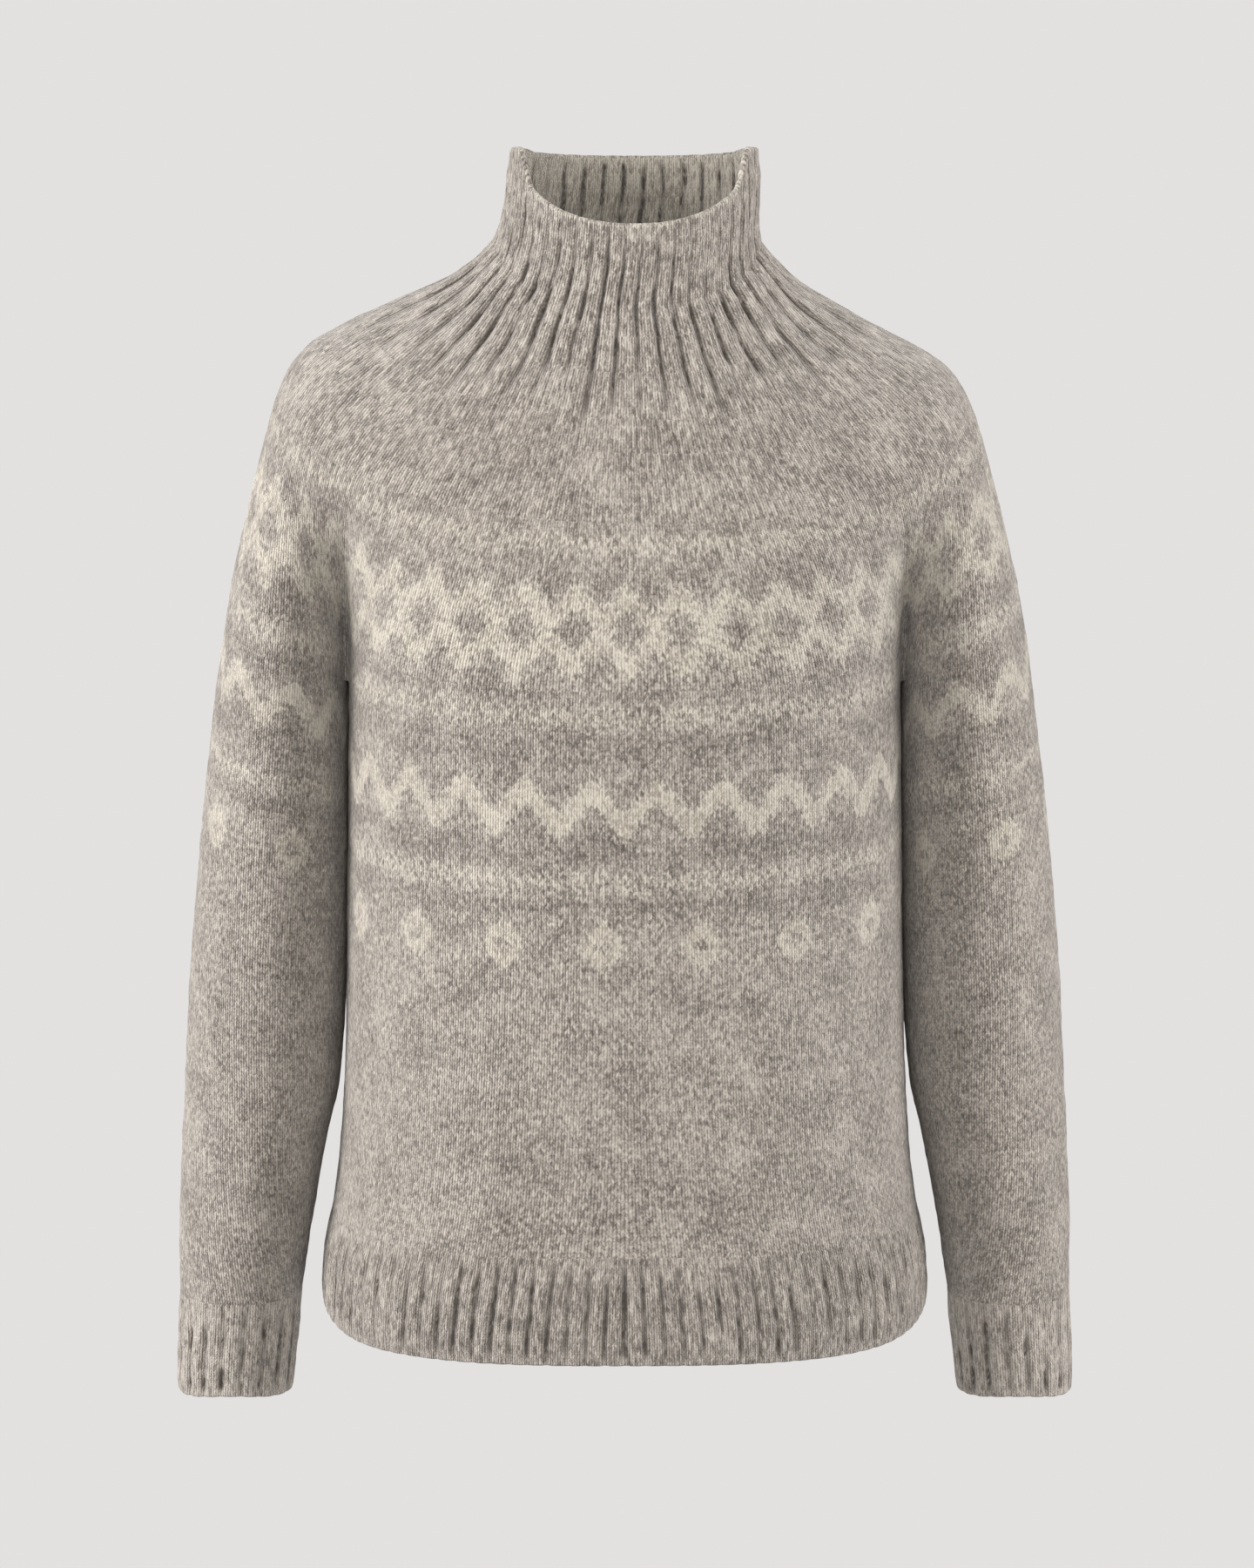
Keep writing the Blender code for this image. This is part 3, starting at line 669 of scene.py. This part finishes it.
class Knit:
    """A closed round of knitting: a grid of points on its plain outer face, and what is worked into it.

    wale and course place its points in the knitting. wale has one column more than the points, and
    per_wale is the stitches in one of its units, for each row of faces. ribs is how strong the ribs
    are, phase counts them, behind is how strong their furrows are inside, if not as outside, and
    drawn is how far stitches are drawn out lengthways."""

    AT_POINTS = ("points", "normals", "furrow", "behind", "ribs", "drawn", "cream", "uneven")

    def __init__(
        self, points, wale, course, seed, ribs=0.0, phase=0.0, furrow_width=NECK_FURROW, behind=None,
        drawn=PLAIN_DRAWN, cream=0.0, per_wale=1.0,
    ):
        shape = points.shape[:2]
        rows, columns = shape
        self.closed = True
        self.points, self.normals = points, normals(points)
        self.wale, self.course = np.broadcast_to(wale, (rows, columns + 1)), course
        self.ribs, self.drawn, self.cream = (np.broadcast_to(each, shape) for each in (ribs, drawn, cream))
        self.per_wale = np.broadcast_to(per_wale, rows - 1)
        wander = FURROW_WANDER * uneven(shape, seed + WANDER_SEED, *WANDER_SPANS)
        depth = patchy(shape, seed + DEPTH_SEED, *FURROW_DEPTH)
        furrow = rib_furrow(phase + wander, furrow_width) * depth
        self.furrow = furrow * self.ribs
        self.behind = furrow * (self.ribs if behind is None else behind)
        from_seam = np.minimum(np.arange(rows), rows - 1 - np.arange(rows))
        self.uneven = uneven(shape, seed, *UNEVEN_SPANS) * smooth_step(*UNEVEN_FROM_SEAM, from_seam)[:, None]

    def rows(self, first, last):
        """A cut of this piece between two rows, with the same normals, so that its seams match."""
        cut = object.__new__(Knit)
        cut.closed = self.closed
        for name in (*self.AT_POINTS, "wale", "course"):
            setattr(cut, name, getattr(self, name)[first : last + 1])
        cut.per_wale = self.per_wale[first:last]
        return cut

    def columns(self, first, last):
        """An open panel of this closed piece, between two columns, of which the first may be negative."""
        at = np.arange(first, last + 1)
        count = self.points.shape[1]
        cut = object.__new__(Knit)
        cut.closed = False
        for name in self.AT_POINTS:
            setattr(cut, name, getattr(self, name)[:, at % count])
        turns = self.wale[:, -1:] - self.wale[:, :1]
        cut.wale = self.wale[:, at % count] + turns * (at // count)
        cut.course, cut.per_wale = self.course, self.per_wale
        return cut


def rim_rows(knit, row, outwards, inwards):
    """Rows of points that round off an open edge from the outer face to the inner one."""
    edge, out = knit.points[row], knit.normals[row]
    beyond = edge - knit.points[1 if row == 0 else -2]
    beyond /= np.linalg.norm(beyond, axis=-1, keepdims=True)
    middle, radius = (outwards[row] + inwards[row]) / 2, (outwards[row] - inwards[row]) / 2
    turned = [
        edge
        + out * (middle + radius * np.cos(turn))[:, None]
        + beyond * (radius * np.sin(turn) * RIM_SQUASH)[:, None]
        for turn in RIM_TURNS
    ]
    return np.array(turned)


def quad_corners(rows, columns):
    """Rows and columns of the corners of each face of a grid of points, in the order that faces out."""
    row, column = (place.ravel() for place in np.indices((rows - 1, columns - 1)))
    corner_rows = np.stack([row, row + 1, row + 1, row], -1)
    return corner_rows, np.stack([column, column, column + 1, column + 1], -1)


def kept_places(count, step):
    """Every so many places of a row, and always the last."""
    return np.unique(np.append(np.arange(0, count, step), count - 1))


def face_offsets(knit, top_rim, bottom_rim, inner_dig):
    """How far the outer and the inner face stand out from a piece's points."""
    outwards = RIB_RISE * (knit.ribs - knit.furrow) - RIB_DIG * knit.furrow + UNEVEN * knit.uneven
    inwards = -WALL + inner_dig * knit.behind
    from_top = np.arange(len(knit.points))
    for has_rim, from_rim in ((top_rim, from_top), (bottom_rim, from_top[::-1])):
        if has_rim:
            swell = RIM_SWELL * np.exp(-((from_rim / RIM_SWELL_ROWS) ** 2))[:, None]
            outwards, inwards = outwards + swell, inwards - swell
    return outwards, inwards


class OuterFace:
    """A piece's outer face with its rounded rims: its points, and what its rows and points carry."""

    def __init__(self, knit, outwards, inwards, top_rim, bottom_rim):
        self.points = knit.points + knit.normals * outwards[..., None]
        self.course, self.per_wale = knit.course.astype(float), knit.per_wale
        self.carried = {name: getattr(knit, name) for name in ("wale", "furrow", "cream", "drawn")}
        self.lead = RIM_ROWS if top_rim else 0
        steps = np.arange(1, RIM_ROWS + 1) * RIM_COURSE
        if top_rim:
            self.points = np.concatenate([rim_rows(knit, 0, outwards, inwards)[::-1], self.points])
            self.course = np.append(self.course[0] - steps[::-1], self.course)
            self.carry_on(RIM_ROWS, 0)
        if bottom_rim:
            self.points = np.concatenate([self.points, rim_rows(knit, -1, outwards, inwards)])
            self.course = np.append(self.course, self.course[-1] + steps)
            self.carry_on(0, RIM_ROWS)

    def carry_on(self, above, below):
        """Carries the first or the last row's values on over a rim's rows."""
        pad = ((above, below), (0, 0))
        self.carried = {name: np.pad(grid, pad, mode="edge") for name, grid in self.carried.items()}
        self.per_wale = np.pad(self.per_wale, pad[0], mode="edge")

    def places(self, rows, columns):
        """The places in the knitting of faces' corners, which are at these rows and columns."""
        unit = self.per_wale[np.minimum(rows.min(axis=-1, keepdims=True), len(self.per_wale) - 1)]
        return np.stack([self.carried["wale"][rows, columns] * unit, self.course[rows]], -1).reshape(-1, 2)


def add_shell(
    name, knit, material, top_rim=False, bottom_rim=False, inner_step=PLAIN_INNER, inner_dig=0, inner_cream=0
):
    """A closed shell of knit cloth: a detailed outer face, a plainer inner one, and the edges."""
    outwards, inwards = face_offsets(knit, top_rim, bottom_rim, inner_dig)
    outer = OuterFace(knit, outwards, inwards, top_rim, bottom_rim)
    rows, columns = knit.points.shape[:2]
    outer_rows, wrap = len(outer.points), columns + knit.closed
    kept_rows, kept_columns = kept_places(rows, inner_step[0]), kept_places(wrap, inner_step[1])
    into_columns = kept_columns[:-1] if knit.closed else kept_columns
    width = len(into_columns)

    def corner(inside, row, column):
        """A face's corner: its point's number, and its row and column on the outer face."""
        if inside:
            number = outer_rows * columns + row * width + column % width
            return number, kept_rows[row] + outer.lead, kept_columns[column]
        return row * columns + column % columns, row, column

    def line(inside, row, column):
        """Corners all along an edge of the outer or of the inner face."""
        return np.stack(corner(inside, *np.broadcast_arrays(row, column)), -1)

    outside = corner(False, *quad_corners(outer_rows, wrap))
    inside = corner(True, *(each[:, ::-1] for each in quad_corners(len(kept_rows), len(kept_columns))))
    quads, quad_rows, quad_columns = (np.concatenate(pair) for pair in zip(outside, inside))
    depth = quad_rows / (outer_rows - 1)
    is_inner = (np.arange(len(quads)) >= len(outside[0]))[:, None]
    bake_height = np.where(is_inner, BAKE_INNER * (1 - depth), 1 - BAKE_OUTER * depth)
    faces = quads.tolist()
    places = [outer.places(quad_rows, quad_columns)]
    bakes = [np.stack([quad_columns / (wrap - 1), bake_height], -1).reshape(-1, 2)]

    edges = []
    for row, into_row, turned in ((0, 0, False), (outer_rows - 1, len(kept_rows) - 1, True)):
        outer_line = line(False, row, np.arange(wrap))
        edges.append((outer_line, line(True, into_row, np.arange(len(kept_columns))), kept_columns, turned))
    if not knit.closed:
        stops = kept_rows + outer.lead
        stops[0], stops[-1] = 0, outer_rows - 1
        for at, into_at, turned in ((0, 0, True), (columns - 1, width - 1, False)):
            outer_line = line(False, np.arange(outer_rows), at)
            edges.append((outer_line, line(True, np.arange(len(kept_rows)), into_at), stops, turned))
    for index, (outer_line, inner_line, stops, turned) in enumerate(edges):
        low = BAKE_EDGES + BAKE_EDGE_STEP * index
        for k, (start, stop) in enumerate(zip(stops[:-1], stops[1:])):
            corners = np.concatenate([outer_line[start : stop + 1], inner_line[[k + 1, k]]])
            share = np.append(np.arange(start, stop + 1), (stop, start)) / stops[-1]
            height = np.full(len(share), low + BAKE_EDGE)
            height[-2:] = low
            order = slice(None, None, -1) if turned else slice(None)
            number, row, column = corners[order].T
            faces.append(number.tolist())
            places.append(outer.places(row, column))
            bakes.append(np.stack([share, height], -1)[order])

    inner_points = (knit.points + knit.normals * inwards[..., None])[kept_rows][:, into_columns]
    # On the inner face the furrows are painted shade, and its cream is painted light where it lies in shade.
    inner = {"furrow": knit.behind, "cream": 0 * knit.cream + inner_cream, "drawn": knit.drawn}
    carried = {
        key: np.append(outer.carried[key], grid[kept_rows][:, into_columns]) for key, grid in inner.items()
    }
    points = np.concatenate([outer.points.reshape(-1, 3), inner_points.reshape(-1, 3)])
    return add_mesh(name, points, faces, {"Stitches": places, "OFBake": bakes}, carried, material)


def add_mesh(name, points, faces, layers, carried, material):
    """An object of these points and faces, with its UV layers and the numbers that its points carry."""
    mesh = bpy.data.meshes.new(name)
    mesh.from_pydata(points.tolist(), [], faces)
    for layer, values in layers.items():
        uv = mesh.uv_layers.new(name=layer)
        uv.data.foreach_set("uv", np.concatenate(values).astype(np.float32).ravel())
    for key, values in carried.items():
        mesh.attributes.new(key, "FLOAT", "POINT").data.foreach_set("value", values.astype(np.float32))
    mesh.validate()
    mesh.shade_smooth()
    mesh.set_sharp_from_angle(angle=radians(70))
    mesh.materials.append(material)
    made = bpy.data.objects.new(name, mesh)
    bpy.context.scene.collection.objects.link(made)
    return made


def neck_and_yoke():
    """The funnel neck and the yoke as one piece of knitting, which is cut at their seam."""
    levels, rounds = even(NECK_COURSES), even(YOKE_COURSES)[1:]
    points = creased(np.array([neck_round(level) for level in levels] + [yoke_round(at) for at in rounds]))
    wale = np.arange(points.shape[1] + 1) / LINES_PER_RIB
    course = np.arange(NECK_COURSES + YOKE_COURSES + 1)
    yoke_course = course - NECK_COURSES
    full = growing(*NECK_GROWTH, yoke_course) * growing(*NECK_RIM_GROWTH, course)
    strength = (1 - smooth_step(*YOKE_RIB_FADE, yoke_course)) * full
    drawn = 1 - (1 - PLAIN_DRAWN) * smooth_step(*YOKE_DRAWN_EASE, yoke_course)
    behind = INSIDE_RIBS * smooth_step(*INSIDE_GROWTH, course)[:, None]
    behind = behind * patchy(points.shape[:2], INSIDE_SEED, *INSIDE_PATCHES)
    per_rib = stitches_per_rib(np.maximum(yoke_course, 0))
    stitch = wale[None, :-1] * per_rib[:, None]
    ribs_from_centre = np.abs((wale[:-1] + TURN_RIBS / 4) % (TURN_RIBS / 2) - TURN_RIBS / 4)
    on_body, on_sleeve = (cream_at(stitch, course[:, None], each) for each in (False, True))
    cream = np.where(ribs_from_centre > CREASE_RIBS, on_sleeve, on_body)
    # Cream along the neck's rim row is a painted highlight.
    cream[0] = RIM_PAINTED_HIGHLIGHT
    return Knit(
        points, wale, course, seed=1, ribs=strength[:, None], phase=neck_ribs(wale[:-1]), behind=behind,
        drawn=drawn[:, None], cream=cream, per_wale=per_rib[:-1],
    )


def body(edge):
    """The body as one closed piece of knitting below the yoke's edge."""
    underarm = min(edge[CREASE, 2], edge[2 * QUARTER - CREASE, 2])
    quarters = []
    for side in (-1, 1):
        top = edge[: CREASE + 1, 2] if side < 0 else edge[2 * QUARTER - CREASE : 2 * QUARTER + 1, 2][::-1]
        crease = body_crease_turn(top[-1], side)
        to_crease = length_turns(body_points, top[-1], side, 0, crease, even(CREASE))
        under = length_turns(body_points, top[-1], side, crease, pi / 2, even(UNDERARM_LINES))
        turn = np.append(to_crease, under[1:])
        top = np.append(top, top[-1] + (underarm - top[-1]) * even(UNDERARM_LINES)[1:])
        quarters.append(body_points(turn, fall(top, BODY_BOTTOM, BODY_COURSES), side))
    quarter = np.append(even(CREASE) * CREASE_RIBS, CREASE_RIBS + even(UNDERARM_LINES)[1:] * UNDERARM_RIBS)
    half = np.concatenate([quarter, 2 * quarter[-1] - quarter[-2::-1]])
    wale = np.concatenate([half, 2 * half[-1] - half[-2::-1]])
    course = BODY_START + np.arange(BODY_COURSES + 1)
    stitch = ((wale[:-1] + quarter[-1]) % (2 * quarter[-1]) - quarter[-1]) * BODY_STITCHES
    cream = cream_at(stitch, course[:, None])
    return Knit(creased(closed_round(*quarters)), wale, course, seed=2, cream=cream, per_wale=BODY_STITCHES)


def hem():
    """The hem's ribs as one closed piece of knitting."""
    middle = (BODY_BOTTOM + HEM_BOTTOM) / 2
    quarters = []
    for side in (-1, 1):
        turn = length_turns(body_points, middle, side, 0, pi / 2, even(HEM_SIDE))
        bottom = HEM_BOTTOM + HEM_LIFT * np.sin(turn) ** HEM_LIFT_POWER
        quarters.append(body_points(turn, fall(np.full(len(turn), BODY_BOTTOM), bottom, HEM_COURSES), side))
    return ribbed_tube(closed_round(*quarters), BODY_START + BODY_COURSES, HEM_COURSES, HEM_RIB_HEIGHT, 3)


def ribbed_tube(points, start, courses, height, seed):
    """A closed piece of ribbing that grows out of plain knitting at its first row."""
    wale = np.arange(points.shape[1] + 1) / TRIM_LINES_PER_RIB
    course = start + np.arange(courses + 1)
    at_rim = growing(*TRIM_RIM_GROWTH, start + courses - course)
    strength = growing(*TRIM_GROWTH, course - start) * at_rim * height
    return Knit(
        creased(points), wale, course, seed, ribs=strength[:, None], phase=wale[:-1],
        furrow_width=TRIM_FURROW, drawn=1.0, per_wale=RIB_STITCHES,
    )


def sleeve(heights, mirrored):
    """A sleeve as one closed piece of knitting, from its front crease by its outer side and round.

    heights are those of the yoke's edge, from the front's centre round by this sleeve."""
    front_top = heights[CREASE : QUARTER + 1]
    back_top = heights[QUARTER : 2 * QUARTER - CREASE + 1][::-1]
    underarm = min(front_top[0], back_top[0])
    outer = QUARTER - CREASE
    front = length_turns(sleeve_points, underarm, -1, sleeve_crease_turn(front_top[0], -1), 0, even(outer))
    back = length_turns(sleeve_points, underarm, 1, 0, sleeve_crease_turn(back_top[0], 1), even(outer))
    share = even(UNDERARM_LINES)
    pieces = (
        (-1, front, front_top),
        (1, back[1:], back_top[::-1][1:]),
        (1, (back[-1] + (pi - back[-1]) * share)[1:], (back_top[0] + (underarm - back_top[0]) * share)[1:]),
        (-1, (pi + (front[0] - pi) * share)[1:-1], (underarm + (front_top[0] - underarm) * share)[1:-1]),
    )
    stretches = [
        sleeve_points(turn, fall(top, SLEEVE_BOTTOM, SLEEVE_COURSES), side) for side, turn, top in pieces
    ]
    points = np.concatenate(stretches, axis=1)
    around = np.linalg.norm(np.roll(points, -1, axis=1) - points, axis=-1)
    length = np.concatenate([np.zeros((len(points), 1)), np.cumsum(around, axis=1)], axis=1)
    wale = (length - length[:, outer : outer + 1]) / STITCH
    if mirrored:
        points, wale = mirrored_round(points), -wale[:, ::-1]
    course = BODY_START + np.arange(SLEEVE_COURSES + 1)
    cream = cream_at(wale[:, :-1], course[:, None], on_sleeve=True)
    return Knit(creased(points), wale, course, seed=5 if mirrored else 4, cream=cream)


def cuff(mirrored):
    """A cuff as one closed piece of ribbing."""
    middle = (SLEEVE_BOTTOM + CUFF_BOTTOM) / 2
    turn = length_turns(sleeve_points, middle, 1, 0, 2 * pi, even(TRIM_LINES_PER_RIB * CUFF_RIBS))[:-1]
    bottom = CUFF_BOTTOM + CUFF_LIFT * np.clip(-np.sin(turn), 0, 1) ** CUFF_LIFT_POWER
    points = sleeve_points(turn, fall(np.full(len(turn), SLEEVE_BOTTOM), bottom, CUFF_COURSES), 1)
    if mirrored:
        points = mirrored_round(points)
    seed = 7 if mirrored else 6
    return ribbed_tube(points, BODY_START + SLEEVE_COURSES, CUFF_COURSES, CUFF_RIB_HEIGHT, seed)


# Materials.


class Field:
    """A number at each point of a surface, which is worked out by math nodes."""

    def __init__(self, tree, socket):
        self.tree, self.socket = tree, socket

    def math(self, operation, *others):
        node = self.tree.nodes.new("ShaderNodeMath")
        node.operation = operation
        for place, value in enumerate((self, *others)):
            if isinstance(value, Field):
                self.tree.links.new(value.socket, node.inputs[place])
            else:
                node.inputs[place].default_value = value
        return Field(self.tree, node.outputs[0])

    def __add__(self, other):
        return self.math("ADD", other)

    def __sub__(self, other):
        return self.math("SUBTRACT", other)

    def __mul__(self, other):
        return self.math("MULTIPLY", other)

    def step(self, low, high):
        """0 up to low, 1 from high on, and a soft slope between."""
        node = self.tree.nodes.new("ShaderNodeMapRange")
        node.interpolation_type = "SMOOTHSTEP"
        self.tree.links.new(self.socket, node.inputs["Value"])
        node.inputs["From Min"].default_value = low
        node.inputs["From Max"].default_value = high
        return Field(self.tree, node.outputs["Result"])


def attribute(tree, name):
    """A number that the mesh's points carry."""
    node = tree.nodes.new("ShaderNodeAttribute")
    node.attribute_name = name
    return Field(tree, node.outputs["Fac"])


def noise(tree, scale, detail, roughness=0.5, stretch=(1, 1, 1), place=None):
    """Soft noise over a place, which is otherwise the object's own metres, finer where stretched."""
    place = place or tree.nodes.new("ShaderNodeTexCoord").outputs["Object"]
    mapping = tree.nodes.new("ShaderNodeMapping")
    mapping.inputs["Scale"].default_value = stretch
    node = tree.nodes.new("ShaderNodeTexNoise")
    node.inputs["Scale"].default_value = scale
    node.inputs["Detail"].default_value = detail
    node.inputs["Roughness"].default_value = roughness
    tree.links.new(place, mapping.inputs["Vector"])
    tree.links.new(mapping.outputs["Vector"], node.inputs["Vector"])
    return Field(tree, node.outputs["Fac"])


def cell_noise(tree, along, down):
    """A value from 0 to 1 that each cell draws for itself."""
    join = tree.nodes.new("ShaderNodeCombineXYZ")
    tree.links.new(along.socket, join.inputs["X"])
    tree.links.new(down.socket, join.inputs["Y"])
    node = tree.nodes.new("ShaderNodeTexWhiteNoise")
    node.noise_dimensions = "2D"
    tree.links.new(join.outputs["Vector"], node.inputs["Vector"])
    return Field(tree, node.outputs["Value"])


def blend(tree, share, low, high):
    """A colour socket between two colours, each a colour or a socket."""
    node = tree.nodes.new("ShaderNodeMix")
    node.data_type = "RGBA"
    tree.links.new(share.socket, node.inputs["Factor"])
    for socket, colour in ((node.inputs[6], low), (node.inputs[7], high)):
        if isinstance(colour, tuple):
            socket.default_value = colour
        else:
            tree.links.new(colour, socket)
    return node.outputs[2]


def arch(field):
    """1 in the middle of each run from 0 to 1, and 0 at its ends."""
    return ((field - 0.5).math("ABSOLUTE") * 2.0).math("POWER", 2.0) * -1.0 + 1.0


def wool(name, darker):
    """Heathered wool: each leg of each stitch has its own fleck, and its V is in the bump."""
    made = bpy.data.materials.new(name)
    made.use_nodes = True
    tree = made.node_tree
    shader = tree.nodes["Principled BSDF"]

    uv = tree.nodes.new("ShaderNodeUVMap")
    uv.uv_map = "Stitches"
    split = tree.nodes.new("ShaderNodeSeparateXYZ")
    tree.links.new(uv.outputs["UV"], split.inputs["Vector"])
    wale, course = Field(tree, split.outputs["X"]), Field(tree, split.outputs["Y"])
    from_wale = (wale.math("FRACT") - 0.5).math("ABSOLUTE") * 2.0
    leaning = course + from_wale * STITCH_LEAN
    fleck = cell_noise(tree, (wale * 2.0).math("FLOOR"), leaning.math("FLOOR"))
    loose = noise(tree, 1.0, 3, 0.62, LOOSE_STREAK, uv.outputs["UV"])
    drawn = noise(tree, 1.0, 3, 0.62, DRAWN_STREAK, uv.outputs["UV"])
    streak = loose + (drawn - loose) * attribute(tree, "drawn") * DRAWN_SHARE
    mottle = noise(tree, MOTTLE_SCALE, 3, 0.55)
    fibre = noise(tree, FIBRE_SCALE, 2, 0.6)

    # The yarn is round across each leg of a stitch, and along it from one course to the next.
    crown = arch(from_wale)
    loop = arch(leaning.math("FRACT"))
    yarn = crown * 0.55 + crown * loop * 0.45

    # The ground, and the cream over it, whose edge is ragged, as it is brushed.
    share = attribute(tree, "cream")
    tone = share.math("MINIMUM", 0.0) * STRANDED_WEIGHT - (TONE_MIDDLE + darker)
    # The yarn's roundness in the tone is painted light on the legs' crowns and painted shade between them.
    for part, weight in zip((fleck, streak, fibre, mottle, yarn), TONE_WEIGHTS):
        tone = tone + part * weight
    tone = tone.step(0.0, 1.0)
    ground = blend(tree, tone, DARK_FLECK, LIGHT_FLECK)
    cream = blend(tree, (tone * 0.9 + 0.16).step(0.0, 1.0), CREAM_SHADE, CREAM_LIGHT)
    ragged = share + (fleck - 0.5) * 0.5 + (streak - 0.5) * 1.2 + (fibre - 0.5) * 0.4
    knitted = blend(tree, ragged.step(0.10, 1.05), ground, cream)

    # Shade is painted into the furrows, where little light gets in, in patches.
    painted_furrow_shade = attribute(tree, "furrow") * (streak * 1.6 + fleck * 0.9 + fibre * 0.7 - 0.70)
    painted_furrow_shade = painted_furrow_shade.step(0.05, 1.0)
    tree.links.new(blend(tree, painted_furrow_shade, knitted, FURROW_PAINTED_SHADE), shader.inputs["Base Color"])

    height = yarn + (fibre - 0.5) * 0.9 + (streak - 0.5) * 0.9
    bump = tree.nodes.new("ShaderNodeBump")
    bump.inputs["Strength"].default_value = 0.85
    bump.inputs["Distance"].default_value = 0.0007
    tree.links.new(height.socket, bump.inputs["Height"])
    tree.links.new(bump.outputs["Normal"], shader.inputs["Normal"])

    shader.inputs["Roughness"].default_value = 0.95
    shader.inputs["Specular IOR Level"].default_value = 0.12
    shader.inputs["Sheen Weight"].default_value = 0.4
    shader.inputs["Sheen Roughness"].default_value = 0.6
    shader.inputs["Sheen Tint"].default_value = (0.93, 0.90, 0.87, 1.0)
    return made


# The sweater.

knit_wool = wool("heather_knit", 0.0)
rib_wool = wool("heather_rib", RIB_DARKER)
# A lighter copy of the wool for the cuffs: painted light.
cuff_wool_painted_lighter = wool("heather_cuff", CUFF_PAINTED_LIGHT_SHIFT)

top = neck_and_yoke()
edge = top.points[-1]
body_knit = body(edge)
hem_knit = hem()
# The neck's inside has furrows painted as shade, and cream painted over it as light.
neck_shell = {"top_rim": True, "inner_step": NECK_INNER, "inner_dig": INSIDE_DIG, "inner_cream": INSIDE_PAINTED_LIGHT}
trim_shell = {"bottom_rim": True, "inner_step": TRIM_INNER}
pieces = [
    ("collar", top.rows(0, NECK_COURSES), rib_wool, neck_shell),
    ("yoke", top.rows(NECK_COURSES, NECK_COURSES + YOKE_COURSES), knit_wool, {}),
    ("body_front", body_knit.columns(-BODY_SIDE, BODY_SIDE), knit_wool, {}),
    ("body_back", body_knit.columns(BODY_SIDE, 3 * BODY_SIDE), knit_wool, {}),
    ("hem_rib_front", hem_knit.columns(-HEM_SIDE, HEM_SIDE), rib_wool, trim_shell),
    ("hem_rib_back", hem_knit.columns(HEM_SIDE, 3 * HEM_SIDE), rib_wool, trim_shell),
]
for side, heights in (("left", edge[:, 2]), ("right", np.roll(edge[::-1, 2], 1))):
    mirrored = side == "right"
    pieces.append((f"sleeve_{side}", sleeve(heights, mirrored), knit_wool, {}))
    pieces.append((f"cuff_{side}", cuff(mirrored), cuff_wool_painted_lighter, trim_shell))
shells = {name: add_shell(name, knit, material, **edges) for name, knit, material, edges in pieces}

# What each piece hangs from; the imported solid of the same name is hidden.
for name, piece in shells.items():
    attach(piece, "root")
    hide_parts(name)

# The stage: a floor far below and a sky in the photo's paper colour, square lamps, each with its name,
# place, target, size and power, and the camera.

FLOOR_Z = -1.45
BACKGROUND = (0.768, 0.753, 0.745, 1.0)
OVERHEAD = (0.25, 0.25, 0.25, 1.0)
OVERHEAD_FROM = (0.07, 0.55)
LAMPS = (
    ("key", (-2.3, -0.75, 0.3), (0, 0, -0.3), 1.2, 91),
    ("fill", (2.3, -0.75, 0.2), (0, 0, -0.3), 1.2, 57),
    ("front", (0.0, -2.8, 1.75), (0, 0, -0.1), 1.4, 64),
)
CAMERA_PITCH = radians(8.6)

bpy.ops.mesh.primitive_circle_add(vertices=96, radius=40, fill_type="NGON", location=(0, 0, FLOOR_Z))
floor = bpy.context.object
floor.name = "floor"
paper = bpy.data.materials.new("floor_paper")
paper.use_nodes = True
paper_shader = paper.node_tree.nodes["Principled BSDF"]
paper_shader.inputs["Base Color"].default_value = (0.0, 0.0, 0.0, 1.0)
paper_shader.inputs["Specular IOR Level"].default_value = 0.0
paper_shader.inputs["Emission Color"].default_value = BACKGROUND
paper_shader.inputs["Emission Strength"].default_value = 1.0
paper.cycles.emission_sampling = "NONE"
floor.data.materials.append(paper)

world = bpy.data.worlds.new("studio")
bpy.context.scene.world = world
world.use_nodes = True
sky = world.node_tree
direction = sky.nodes.new("ShaderNodeTexCoord")
parts = sky.nodes.new("ShaderNodeSeparateXYZ")
sky.links.new(direction.outputs["Generated"], parts.inputs["Vector"])
overhead = Field(sky, parts.outputs["Z"]).step(*OVERHEAD_FROM)
sky.links.new(blend(sky, overhead, BACKGROUND, OVERHEAD), sky.nodes["Background"].inputs["Color"])

for name, place, target, size, power in LAMPS:
    lamp_data = bpy.data.lights.new(name, "AREA")
    lamp_data.size, lamp_data.energy, lamp_data.color = size, power, (1.0, 0.99, 0.98)
    lamp = bpy.data.objects.new(name, lamp_data)
    lamp.location = place
    lamp.rotation_euler = (Vector(target) - Vector(place)).to_track_quat("-Z", "Y").to_euler()
    bpy.context.scene.collection.objects.link(lamp)

camera_data = bpy.data.cameras.new("camera")
camera_data.lens = 89.0
camera_data.sensor_width = 36.0
camera = bpy.data.objects.new("camera", camera_data)
camera.location = (0.0013, -2.2, 0.03)
camera.rotation_euler = (pi / 2 - CAMERA_PITCH, 0, 0)
bpy.context.scene.collection.objects.link(camera)
bpy.context.scene.camera = camera
bpy.context.scene.view_settings.view_transform = "Standard"
